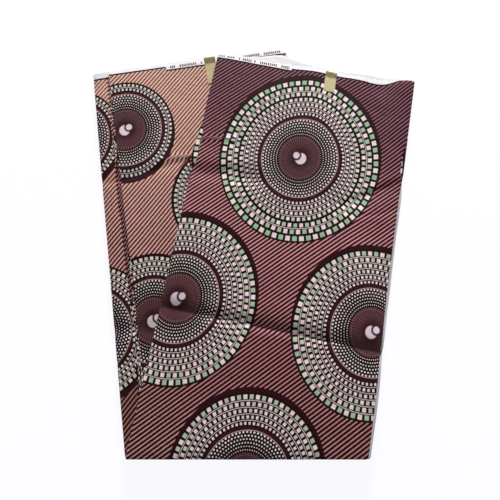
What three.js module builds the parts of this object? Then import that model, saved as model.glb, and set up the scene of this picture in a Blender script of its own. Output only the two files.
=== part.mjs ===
// Two lengths of African wax print cotton, each doubled, folded to a flat bundle and fanned out:
// the left one lies on the surface, the right one lies across it and ramps down beside it.
// Millimetres, +Z up. The origin is on the surface they lie on, below the middle of the whole.
import * as THREE from "three";

// Driving dimensions, in millimetres and degrees
const WIDTH = 300; // a length is folded over and over to this width
const FOOT_Y = -303; // both bundles end in rounded folds along this line
const LEAF = 1.2; // wall of a leaf that shows
const SEAM = 0.3; // clearance between neighbouring pieces
const STACK = 9; // the hidden leaves, pressed together
const HIDDEN_EDGES = 6; // rounded edges that show down the side of the stack
const EDGE_GROOVE = 1.2; // how far the creases between those edges go in
const CORNER_PULL = 1; // how far an outline's corners are drawn in
const MARGIN = 9; // unprinted selvedge along the top of each top leaf
const UNDER_MARGIN = 12; // and along the top of each second leaf
const SECOND_SHOWS = 46; // how far the left bundle's second leaf reaches in from its side
const REST = 0.4; // clearance between the two bundles
const BRIDGE = 20; // the right bundle stays level this far past the left one's side
const RAMP = 60; // and then comes down to the surface over this distance
const TAPE = { width: 14, wall: 0.4, lift: 0.35, lowEnd: 1 };

// One level holds one leaf and the clearance under it.
const LEVEL = LEAF + SEAM;
const BUNDLE = STACK + 2 * LEVEL;

// A bundle's own directions are a, across from its left side, and b, down from its selvedge end.
// footX is where its left side meets the foot line, side is that side's length, lean turns its
// sides away from +Y and tilt turns its selvedge end away from +X.
// columns are grid lines across; step and folds place the grid lines down its length, and skew
// turns those lines where the creases and the foot run aslant.
const BUNDLES = {
  left: {
    footX: -160,
    side: 563,
    lean: 8.6,
    tilt: 9.3,
    columns: [10, 30, SECOND_SHOWS, 72, 98, 124, 150, 176, 202, 228, 254, 276, 291],
    step: 31,
    folds: [172, 400],
    skew: [{ at: 0, by: 0 }, { at: 430, by: 0 }],
    tapeAt: 180,
    tapeHang: 42,
  },
  right: {
    footX: -159,
    side: 590,
    lean: -10.4,
    tilt: -9,
    columns: [10, 35, 62, 90, 118, 143, 166, 180, 204, 228, 246, 262, 278, 291],
    step: 31,
    folds: [200, 394],
    skew: [{ at: 0, by: 0 }, { at: 300, by: 0 }, { at: 394, by: 14 }],
    tapeAt: 173,
    tapeHang: 40,
  },
};

// Creases and the swells beside them, each from (a1, b1) to (a2, b2). A positive depth is a
// trough and a negative one a ridge, and reach is how far to each side it dies away.
const CREASES = {
  left: [
    { a1: -10, b1: 184, a2: 105, b2: 174, depth: 0.8, reach: 9 },
    { a1: -10, b1: 165, a2: 108, b2: 160, depth: -0.6, reach: 10 },
    { a1: -10, b1: 402, a2: 20, b2: 400, depth: 0.8, reach: 9 },
  ],
  right: [
    { a1: -20, b1: 393, a2: 320, b2: 409, depth: 2.3, reach: 8 },
    { a1: -20, b1: 370, a2: 320, b2: 386, depth: -1.5, reach: 17 },
    { a1: -20, b1: 416, a2: 320, b2: 430, depth: -0.8, reach: 15 },
    { a1: -20, b1: 203, a2: 100, b2: 195, depth: 1.4, reach: 10 },
    { a1: 100, b1: 195, a2: 215, b2: 208, depth: 0.4, reach: 12 },
    { a1: 215, b1: 213, a2: 320, b2: 158, depth: 1.4, reach: 11 },
    { a1: -20, b1: 175, a2: 90, b2: 168, depth: -0.9, reach: 13 },
    { a1: 225, b1: 235, a2: 320, b2: 212, depth: -0.8, reach: 13 },
    { a1: 253, b1: -20, a2: 250, b2: 18, depth: 1.6, reach: 15 },
    { a1: 284, b1: -20, a2: 283, b2: 20, depth: -0.9, reach: 12 },
  ],
};

// Down the sides of a stack: how far each folded edge stands in from the outline, and how far
// its raw selvedge stands back from the selvedge end. The lowest edge comes first.
const FOLDED_EDGES = [
  { inset: 0.6, back: 1.5 },
  { inset: 0, back: 0.4 },
  { inset: 0.8, back: 2.6 },
  { inset: 0.2, back: 0.8 },
  { inset: 0.5, back: 2 },
  { inset: 0, back: 0.2 },
];

const COLOURS = {
  salmonPrint: 0xa97a70,
  maroonPrint: 0x6b4547,
  foldedPrint: 0x5a3437,
  bareCotton: 0xe9e4e4,
  goldTape: 0xb8a55e,
};

const radians = THREE.MathUtils.degToRad;
const mix = THREE.MathUtils.lerp;
const clamp = THREE.MathUtils.clamp;
const ease = THREE.MathUtils.smoothstep;

// Value of a table of { at, by } rows at s, straight between the rows.
function along(rows, s) {
  for (let k = 1; k < rows.length; k++) {
    const low = rows[k - 1];
    const high = rows[k];
    if (s <= high.at) return mix(low.by, high.by, (s - low.at) / (high.at - low.at));
  }
  return rows[rows.length - 1].by;
}

// Works out where a bundle lies: its selvedge corner, its foot and its grid lines.
function layOut(name) {
  const spec = BUNDLES[name];
  const lean = radians(spec.lean);
  const tilt = radians(spec.tilt);
  const corner = new THREE.Vector2(
    spec.footX - spec.side * Math.sin(lean),
    FOOT_Y + spec.side * Math.cos(lean),
  );
  const farSide = spec.side + (WIDTH * Math.sin(tilt)) / Math.cos(lean);
  const skew = [...spec.skew, { at: spec.side, by: farSide - spec.side }];
  const rows = [15];
  for (let s = spec.step; s < spec.side - spec.step / 2; s += spec.step)
    if (spec.folds.every((fold) => Math.abs(s - fold) > spec.step * 0.6)) rows.push(s);
  for (const fold of spec.folds) rows.push(fold - 10, fold, fold + 10);
  rows.push(spec.side - 12);
  rows.sort((low, high) => low - high);
  return { ...spec, name, lean, tilt, corner, skew, rows, shear: lean - tilt };
}

const left = layOut("left");
const right = layOut("right");

// Where (a, b) lies in a bundle's own group, whose x axis runs along its selvedge end.
function inGroup(bundle, a, b) {
  return new THREE.Vector2(
    a + b * Math.sin(bundle.shear),
    -b * Math.cos(bundle.shear),
  );
}

// The same place in the frame of the whole part.
function inPart(bundle, a, b) {
  return inGroup(bundle, a, b)
    .rotateAround(new THREE.Vector2(), bundle.tilt)
    .add(bundle.corner);
}

// Where the grid line that starts s down the left side runs at distance a across.
function rowAt(bundle, s, a) {
  return s + (along(bundle.skew, s) * a) / WIDTH;
}

function footAt(bundle, a) {
  return rowAt(bundle, bundle.side, a);
}

// How far outside the left bundle's right side a point of the part lies.
function beyondLeft(point) {
  const start = inPart(left, WIDTH, 0);
  const down = new THREE.Vector2(Math.sin(left.lean), -Math.cos(left.lean));
  return down.x * (point.y - start.y) - down.y * (point.x - start.x);
}

// Height of what a bundle lies on. The right one lies on the left one, clears its tape by a
// little and comes down beside it.
function ground(bundle, a, b) {
  if (bundle === left) return 0;
  const past = beyondLeft(inPart(bundle, a, b));
  const level = BUNDLE + REST;
  const overTape = 0.9 * ease(1 - Math.hypot(a, b - 30) / 130, 0, 1);
  return (level + overTape) * (1 - ease(past, BRIDGE, BRIDGE + RAMP));
}

// Distance from (a, b) to a crease, which has round ends.
function toCrease(crease, a, b) {
  const run = new THREE.Vector2(crease.a2 - crease.a1, crease.b2 - crease.b1);
  const arm = new THREE.Vector2(a - crease.a1, b - crease.b1);
  const share = clamp(arm.dot(run) / run.lengthSq(), 0, 1);
  return arm.addScaledVector(run, -share).length();
}

// Creases, and the soft shoulders along the sides and the foot, as a height to add.
function relief(bundle, a, b) {
  let height = 0;
  for (const crease of CREASES[bundle.name])
    height -= crease.depth * Math.exp(-((toCrease(crease, a, b) / crease.reach) ** 2));
  const inFromEdge = Math.min(a, WIDTH - a, footAt(bundle, a) - b);
  return height - 1.1 * Math.exp(-((clamp(inFromEdge, 0, WIDTH) / 5) ** 2));
}

// Top of the stack of hidden leaves, lower where a second leaf or selvedge shows on it.
function stackTop(bundle, a, b) {
  const belowSelvedge = clamp((b - 15) / 15, 0, 1);
  const besideLeaf = bundle === left ? clamp((a - SECOND_SHOWS) / 26, 0, 1) : 1;
  return STACK + LEVEL * belowSelvedge * besideLeaf;
}

// The level of the second leaves is 0 and that of the top leaves is 1.
function leafUnder(level) {
  return (bundle, a, b) =>
    ground(bundle, a, b) + STACK + SEAM + level * LEVEL + relief(bundle, a, b);
}

// Where a top leaf's selvedge ends. The right one lies more and more askew of the one under it.
function selvedgeEnd(bundle, a) {
  return bundle === left ? 1.5 : 0.8 + (3 * a) / WIDTH;
}

// Where the printed part of a top leaf begins. The right one is drawn in by a wave near its
// far corner, and its margin is tucked away towards the corner itself.
function printStart(bundle, a) {
  const plain = selvedgeEnd(bundle, a) + MARGIN;
  if (bundle === left) return plain;
  return plain - 1.5 + 4.5 * Math.exp(-(((a - 253) / 20) ** 2)) - 4.2 * ease(a, 268, WIDTH);
}

// The left top leaf lies back from the second leaf's side, and folds of the leaves between
// them show beside it, in a band that widens down its length.
function edgeFoldsSide(b) {
  return 20.5 + 3.5 * ease(b, 190, 370) - 1.5 * ease(b, 430, 560);
}

function leftLeafSide(b) {
  return edgeFoldsSide(b) + 3.6 + 3 * ease(b, 20, 200);
}

// The right top leaf leaves a sliver of the folds under it along the lower part of its side.
function rightLeafSide(b) {
  return WIDTH - 0.4 - 2 * ease(b, 140, 210);
}

function closedMesh(points, faces) {
  const geometry = new THREE.BufferGeometry();
  geometry.setAttribute("position", new THREE.Float32BufferAttribute(points, 3));
  geometry.setIndex(faces);
  geometry.computeVertexNormals();
  return geometry;
}

// Adds the two triangles of a four-cornered face.
function addQuad(faces, p, q, r, s) {
  faces.push(p, q, r, p, r, s);
}

// A closed body over a grid. sides gives its four edges as functions, and rings go from its
// upper skin, over its rim, to its underside: inset moves a ring in, back moves it down from
// the selvedge end, and part is how much of the body's height it stands at.
function gridBody({ bundle, sides, under, over, rings, columns, rows }) {
  const across = columns.length + 1;
  const down = rows.length + 1;
  const points = [];
  const spot = (i, j, ring) => {
    const atCorner = (i === 0 || i === across) && (j === 0 || j === down);
    const inset = ring.inset + (atCorner ? CORNER_PULL : 0);
    const s = [sides.top(0), ...rows, sides.low(0)][j];
    const a = [sides.left(s) + inset, ...columns, sides.right(s) - inset][i];
    const selvedge = sides.top(a) + inset + (ring.back ?? 0);
    const between = rows.map((row) => rowAt(bundle, row, a));
    const b = [selvedge, ...between, sides.low(a) - inset][j];
    const flat = inGroup(bundle, a, b);
    const height = mix(under(bundle, a, b), over(bundle, a, b), ring.part);
    points.push(flat.x, flat.y, height);
    return points.length / 3 - 1;
  };
  const skin = (ring) =>
    Array.from({ length: down + 1 }, (_, j) =>
      Array.from({ length: across + 1 }, (_, i) => spot(i, j, ring)));
  const rim = [];
  for (let i = 0; i < across; i++) rim.push([i, 0]);
  for (let j = 0; j < down; j++) rim.push([across, j]);
  for (let i = across; i > 0; i--) rim.push([i, down]);
  for (let j = down; j > 0; j--) rim.push([0, j]);

  const faces = [];
  const upper = skin(rings[0]);
  const lower = skin(rings[rings.length - 1]);
  for (let j = 0; j < down; j++)
    for (let i = 0; i < across; i++) {
      addQuad(faces, upper[j][i], upper[j + 1][i], upper[j + 1][i + 1], upper[j][i + 1]);
      addQuad(faces, lower[j][i], lower[j][i + 1], lower[j + 1][i + 1], lower[j + 1][i]);
    }
  const loops = rings.map((ring, k) => {
    if (k === 0) return rim.map(([i, j]) => upper[j][i]);
    if (k === rings.length - 1) return rim.map(([i, j]) => lower[j][i]);
    return rim.map(([i, j]) => spot(i, j, ring));
  });
  for (let k = 1; k < loops.length; k++)
    rim.forEach((_, n) => {
      const next = (n + 1) % rim.length;
      addQuad(faces, loops[k - 1][n], loops[k - 1][next], loops[k][next], loops[k][n]);
    });
  return closedMesh(points, faces);
}

// Rings of a single leaf: a flat wall with a rounded edge.
const LEAF_RINGS = [
  { inset: 0.4, part: 1 },
  { inset: 0, part: 0.5 },
  { inset: 0.4, part: 0 },
];

// Rings of a stack: its upper skin, then each folded edge and the groove under it.
function stackRings() {
  const rings = [{ inset: EDGE_GROOVE, part: 1 }];
  for (let k = HIDDEN_EDGES - 1; k >= 0; k--) {
    rings.push({ ...FOLDED_EDGES[k], part: (k + 0.5) / HIDDEN_EDGES });
    rings.push({ inset: EDGE_GROOVE, part: k / HIDDEN_EDGES });
  }
  return rings;
}

function hiddenLayers(bundle) {
  return gridBody({
    bundle,
    sides: {
      left: () => 0,
      right: () => WIDTH,
      top: () => 0,
      low: (a) => footAt(bundle, a),
    },
    under: ground,
    over: (owner, a, b) =>
      ground(owner, a, b) + stackTop(owner, a, b) + relief(owner, a, b),
    rings: stackRings(),
    columns: bundle.columns,
    rows: bundle.rows,
  });
}

// A leaf or a strip of one, at level 0 under a top leaf or at level 1. Its grid keeps the
// bundle's lines wherever they lie well inside its sides.
function leaf(bundle, level, sides, wall = () => LEAF) {
  const under = leafUnder(level);
  const room = 3;
  const inSides = (a) =>
    bundle.rows.every((s) => a > sides.left(s) + room && a < sides.right(s) - room);
  const inEnds = (s) =>
    bundle.columns.every((a) => {
      const b = rowAt(bundle, s, a);
      return b > sides.top(a) + room && b < sides.low(a) - room;
    });
  return gridBody({
    bundle,
    sides,
    under,
    over: (owner, a, b) => under(owner, a, b) + wall(a, b),
    rings: LEAF_RINGS,
    columns: bundle.columns.filter(inSides),
    rows: bundle.rows.filter(inEnds),
  });
}

// Sides of what lies on top of a bundle, its leaf and its selvedge.
function topSides(bundle) {
  return {
    left: bundle === left ? leftLeafSide : () => 0.3,
    right: bundle === left ? () => WIDTH - 0.5 : rightLeafSide,
  };
}

function topLeaf(bundle) {
  return leaf(bundle, 1, {
    ...topSides(bundle),
    top: (a) => printStart(bundle, a) + SEAM,
    low: (a) => footAt(bundle, a) - 0.3,
  });
}

function secondLeaf(bundle) {
  return leaf(bundle, 0, {
    left: () => 0.2,
    right: () => SECOND_SHOWS - 1,
    top: () => UNDER_MARGIN + SEAM,
    low: (a) => footAt(bundle, a) - 0.5,
  });
}

// The band of folded edges beside the left top leaf, a wedge that rises towards it.
function edgeFolds(bundle) {
  const sides = {
    left: edgeFoldsSide,
    right: (b) => leftLeafSide(b) - SEAM,
    top: () => UNDER_MARGIN,
    low: (a) => footAt(bundle, a) - 0.4,
  };
  const share = (a, b) => (a - sides.left(b)) / (sides.right(b) - sides.left(b));
  return leaf(bundle, 1, sides, (a, b) => LEAF * mix(0.5, 1, clamp(share(a, b), 0, 1)));
}

// The unprinted margin of a top leaf.
function topSelvedge(bundle) {
  return leaf(bundle, 1, {
    ...topSides(bundle),
    top: (a) => selvedgeEnd(bundle, a),
    low: (a) => printStart(bundle, a),
  });
}

// The margin of the leaf under it, which shows past its end.
function secondSelvedge(bundle) {
  return leaf(bundle, 0, {
    left: () => 0.2,
    right: () => WIDTH - 0.2,
    top: () => 0,
    low: () => UNDER_MARGIN,
  });
}

// Tape over the selvedge end: from a short way down the top leaf, over the edge and down the
// end of the bundle. Each station is a place along it, and the wall stands outside that line.
function tape(bundle) {
  const surface = (a, b) => leafUnder(1)(bundle, a, Math.max(b, 0)) + LEAF;
  const edge = selvedgeEnd(bundle, bundle.tapeAt);
  const stations = [
    { b: bundle.tapeHang, drop: 0, out: 0, up: 1 },
    { b: bundle.tapeHang * 0.75, drop: 0, out: 0, up: 1 },
    { b: bundle.tapeHang * 0.5, drop: 0, out: 0, up: 1 },
    { b: bundle.tapeHang * 0.25, drop: 0, out: 0, up: 1 },
    { b: edge + 0.3, drop: 0, out: 0.2, up: 1 },
    { b: 0.4, drop: 0.5, out: 0.7, up: 0.7 },
    { b: -0.5, drop: 1.5, out: 1, up: 0.2 },
    { b: -0.5, drop: null, out: 1, up: 0 },
  ];
  const sides = [bundle.tapeAt - TAPE.width / 2, bundle.tapeAt + TAPE.width / 2];
  const points = [];
  for (const { b, drop, out, up } of stations)
    for (const a of sides)
      for (const wall of [0, TAPE.wall]) {
        const low = ground(bundle, a, 0) + TAPE.lowEnd;
        const height = drop === null ? low : surface(a, b) + TAPE.lift - drop + wall * up;
        const flat = inGroup(bundle, a, b - wall * out);
        points.push(flat.x, flat.y, height);
      }
  const faces = [];
  const last = 4 * (stations.length - 1);
  for (let n = 0; n < last; n += 4) {
    const m = n + 4;
    addQuad(faces, n + 1, n + 3, m + 3, m + 1);
    addQuad(faces, n, m, m + 2, n + 2);
    addQuad(faces, n, n + 1, m + 1, m);
    addQuad(faces, n + 2, m + 2, m + 3, n + 3);
  }
  addQuad(faces, 0, 2, 3, 1);
  addQuad(faces, last, last + 1, last + 3, last + 2);
  return closedMesh(points, faces);
}

function finish(colour, roughness) {
  return new THREE.MeshStandardMaterial({ color: colour, roughness, metalness: 0 });
}

function named(name, geometry, material) {
  const mesh = new THREE.Mesh(geometry, material);
  mesh.name = name;
  return mesh;
}

// One bundle in a group of its own, which is turned and set down at its selvedge corner.
function bundleGroup(bundle, printColour) {
  const group = new THREE.Group();
  const print = finish(printColour, 0.7);
  const folded = finish(COLOURS.foldedPrint, 0.8);
  const bare = finish(COLOURS.bareCotton, 0.8);
  const gold = finish(COLOURS.goldTape, 0.35);
  group.add(named(bundle.name + "_hidden_layers", hiddenLayers(bundle), folded));
  if (bundle === left) {
    group.add(named("left_second_leaf", secondLeaf(bundle), print));
    group.add(named("left_edge_folds", edgeFolds(bundle), folded));
  }
  group.add(named(bundle.name + "_second_selvedge", secondSelvedge(bundle), bare));
  group.add(named(bundle.name + "_top_leaf", topLeaf(bundle), print));
  group.add(named(bundle.name + "_top_selvedge", topSelvedge(bundle), bare));
  group.add(named(bundle.name + "_tape", tape(bundle), gold));
  group.position.set(bundle.corner.x, bundle.corner.y, 0);
  group.rotation.z = bundle.tilt;
  return group;
}

const cloths = new THREE.Group();
cloths.add(bundleGroup(left, COLOURS.salmonPrint));
cloths.add(bundleGroup(right, COLOURS.maroonPrint));

export default cloths;
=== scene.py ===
"""Two folded lengths of African wax print cotton, fanned out flat, dressed around their solids.

Sizes are in millimetres up to the point where a mesh is made. On each bundle, a runs across
from its left side and b runs down from its selvedge end.
"""

import logging
import math
from dataclasses import dataclass, replace
from enum import Enum
from typing import Any, Callable

import bpy
import numpy as np
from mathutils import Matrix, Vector


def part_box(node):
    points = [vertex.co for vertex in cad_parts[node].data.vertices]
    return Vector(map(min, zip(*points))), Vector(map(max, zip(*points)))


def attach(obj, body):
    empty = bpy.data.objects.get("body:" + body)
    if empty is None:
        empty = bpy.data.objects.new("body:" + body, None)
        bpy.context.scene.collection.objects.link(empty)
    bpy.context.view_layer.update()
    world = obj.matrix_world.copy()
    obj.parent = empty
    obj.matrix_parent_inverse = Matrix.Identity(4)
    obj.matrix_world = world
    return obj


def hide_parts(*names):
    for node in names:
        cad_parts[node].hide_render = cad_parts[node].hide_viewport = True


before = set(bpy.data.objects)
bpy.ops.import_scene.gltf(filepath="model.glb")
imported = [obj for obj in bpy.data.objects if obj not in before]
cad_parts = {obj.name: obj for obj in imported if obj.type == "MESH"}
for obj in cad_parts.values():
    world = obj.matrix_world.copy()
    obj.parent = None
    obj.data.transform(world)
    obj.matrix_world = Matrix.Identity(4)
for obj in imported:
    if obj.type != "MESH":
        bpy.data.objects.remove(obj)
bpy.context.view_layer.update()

LOG = logging.getLogger("cloth")

Array = np.ndarray
Line = Callable[[Array], Array]
Colour = tuple[float, float, float, float]

MM = 0.001
BODY = "root"

# Sizes that the solids were made with
WIDTH = 300.0
LEAF = 1.2
SEAM = 0.3
STACK = 9.0
LEVEL = LEAF + SEAM
BUNDLE = STACK + 2 * LEVEL
MARGIN = 9.0
UNDER_MARGIN = 12.0
SECOND_SHOWS = 46.0
STEP_START = 15.0
STEP_RUN = 15.0
SIDE_STEP_RUN = 26.0
REST = 0.4
BRIDGE = 20.0
RAMP = 60.0
FOOT_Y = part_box("left_hidden_layers")[0].y / MM

# Soft forms that only the cloth has: its thin end, the dip along its sides and its ripples
THIN_LEAF = 0.55
SHOULDER_DROP = 1.1
SHOULDER_REACH = 5.0
RIPPLE_WAVES = (150.0, 96.0, 61.0, 38.0, 25.0)
RIPPLE_STEEPNESS = 0.0016
RIPPLE_LENGTHENING = 1.7

# Lift of the right bundle where its near corner lies on the left one's tape
TAPE_LIFT = 0.9
TAPE_DOWN = 30.0
TAPE_REACH = 130.0

# How a bundle's swing sets in across it: right side, far corner and left side
SIDE_SWING_START = 150.0
CORNER_SWING = ((0.45, 120.0, 190.0), (0.55, 250.0, WIDTH))
CORNER_SWING_START = 0.72
NEAR_SWING_END = 60.0

# How the cloth is meshed
FINE_STEP = 2.3
SETTLE = 0.25
CORNER_PULL = 0.9
EDGE_ROUND = 0.62
EDGE_ARCS = 7
SHARP_ANGLE = math.radians(55.0)

# Flat sizes of the sheets, in metres
PEEPING_STRIP = (0.012, 0.09)
FAR_PEEPING_STRIP = (0.010, 0.075)
BARE_STRIP = (0.010, 0.374)

# Finished materials by name, which main fills
MATERIALS: dict[str, bpy.types.Material] = {}


def ease(value: Array, low: float, high: float) -> Array:
    """Rises smoothly from 0 at low to 1 at high.

    Args:
        value: Where to take it.
        low: Start of the rise.
        high: End of the rise.

    Returns:
        A share from 0 to 1.
    """
    share = np.clip((value - low) / (high - low), 0.0, 1.0)
    return share * share * (3.0 - 2.0 * share)


def mix(first: Array, second: Array, share: Array) -> Array:
    """Goes straight from first, at share 0, to second, at share 1."""
    return first + (second - first) * share


def srgb(red: int, green: int, blue: int) -> Colour:
    """Turns a colour of 0 to 255 into the linear one that shaders use.

    Args:
        red: Red, 0 to 255.
        green: Green, 0 to 255.
        blue: Blue, 0 to 255.

    Returns:
        Linear red, green, blue and an alpha of 1.
    """
    def linear(channel: int) -> float:
        """One channel, by the sRGB curve."""
        share = channel / 255.0
        return share / 12.92 if share <= 0.04045 else ((share + 0.055) / 1.055) ** 2.4

    return (linear(red), linear(green), linear(blue), 1.0)


@dataclass(frozen=True)
class Crease:
    """A trough, or a ridge where depth is negative, from (a1, b1) to (a2, b2).

    reach is how far to each side it dies away, wander how far it strays from its line, and
    pinch how much of the print it takes up.
    """

    a1: float
    b1: float
    a2: float
    b2: float
    depth: float
    reach: float
    wander: float = 0.0
    pinch: float = 0.0

    def off(self, a: Array, b: Array) -> tuple[Array, Array, Array]:
        """How far places lie from the crease.

        Args:
            a: Places across the cloth.
            b: Places down the cloth.

        Returns:
            Offsets across and down, and the share of the crease's length passed.
        """
        run_a = self.a2 - self.a1
        run_b = self.b2 - self.b1
        length = math.hypot(run_a, run_b)
        share = np.clip(((a - self.a1) * run_a + (b - self.b1) * run_b) / length**2, 0, 1)
        stray = self.wander * np.sin(share * length / 13.0 + self.a1) * np.sin(3.1 * share)
        off_a = a - self.a1 - share * run_a + stray * run_b / length
        off_b = b - self.b1 - share * run_b - stray * run_a / length
        return off_a, off_b, share

    def tuck(self, a: Array, b: Array) -> tuple[Array, Array]:
        """How far the print is pulled in towards the crease.

        Args:
            a: Places across the cloth.
            b: Places down the cloth.

        Returns:
            Shifts across and down.
        """
        off_a, off_b, _ = self.off(a, b)
        near = self.pinch / self.reach * np.exp(-(np.hypot(off_a, off_b) / self.reach) ** 2)
        return off_a * near, off_b * near

    def height(self, a: Array, b: Array) -> Array:
        """Height that the crease adds.

        Args:
            a: Places across the cloth.
            b: Places down the cloth.

        Returns:
            Heights, below 0 in a trough.
        """
        off_a, off_b, share = self.off(a, b)
        fade = 1.0 if self.wander == 0 else 0.55 + 0.45 * np.sin(math.pi * share)
        return -self.depth * fade * np.exp(-(np.hypot(off_a, off_b) / self.reach) ** 2)


# The creases of the solids, and after them finer ones that only the cloth has
LEFT_CREASES = (
    Crease(-10, 184, 105, 174, 0.8, 9),
    Crease(-10, 165, 108, 160, -0.6, 10),
    Crease(-10, 402, 20, 400, 0.8, 9),
    Crease(-8, 188, 96, 175, 0.9, 3.6, 1.2),
    Crease(92, 162, 160, 162, -0.9, 3.4, 0.8, 5.2),
    Crease(94, 171, 158, 169, 1.0, 4.4, 1.0),
    Crease(26, 396, 38, 442, 1.0, 4.6, 0.8),
    Crease(40, 392, 52, 446, -0.4, 5.5, 0.8),
    Crease(-6, 440, 26, 450, 1.3, 6.0, 0.6),
    Crease(30, 300, 84, 282, 0.22, 6.0, 1.6),
    Crease(120, 60, 176, 96, 0.2, 7.0, 1.6),
    Crease(8, 401, 62, 409, 1.8, 11.0),
)
RIGHT_CREASES = (
    Crease(-20, 393, 320, 409, 2.6, 9),
    Crease(-20, 370, 320, 386, -1.5, 17),
    Crease(-20, 413, 320, 427, 0.5, 13),
    Crease(-20, 203, 100, 195, 1.4, 10),
    Crease(100, 195, 215, 208, 0.4, 12),
    Crease(215, 213, 320, 158, 1.4, 11),
    Crease(-20, 175, 90, 168, -0.9, 13),
    Crease(225, 235, 320, 212, -0.8, 13),
    Crease(253, -20, 250, 18, 1.6, 15),
    Crease(284, -20, 283, 20, -0.9, 12),
    Crease(-8, 392.5, 160, 400, 1.7, 3.4, 0.8, 1.2),
    Crease(128, 399, 308, 408.5, 2.0, 3.4, 0.8, 1.2),
    Crease(60, 407, 214, 416, -0.4, 4.2, 1.2),
    Crease(-6, 194, 84, 189, 2.2, 10.0, 1.2),
    Crease(62, 201, 134, 194, 0.6, 3.4, 1.2),
    Crease(-4, 143, 60, 137, -0.9, 3.4, 0.8, 4.6),
    Crease(10, 146, 54, 128, 0.3, 4.0, 1.0),
    Crease(214, 214, 306, 153, 1.7, 4.2, 1.4),
    Crease(244, 226, 300, 203, 0.9, 3.6, 1.0),
    Crease(232, 196, 292, 150, -0.8, 5.0, 1.2),
    Crease(196, 246, 262, 232, 0.3, 4.4, 1.4),
    Crease(206, 36, 262, 64, 0.25, 6.5, 1.6),
    Crease(70, 470, 176, 486, 0.22, 6.0, 1.8),
    Crease(206, 318, 288, 300, 0.2, 6.0, 1.8),
    Crease(258, 415, 320, 419, 1.6, 8.0),
    Crease(-10, 404, 52, 408, 0.9, 8.0),
)


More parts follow.
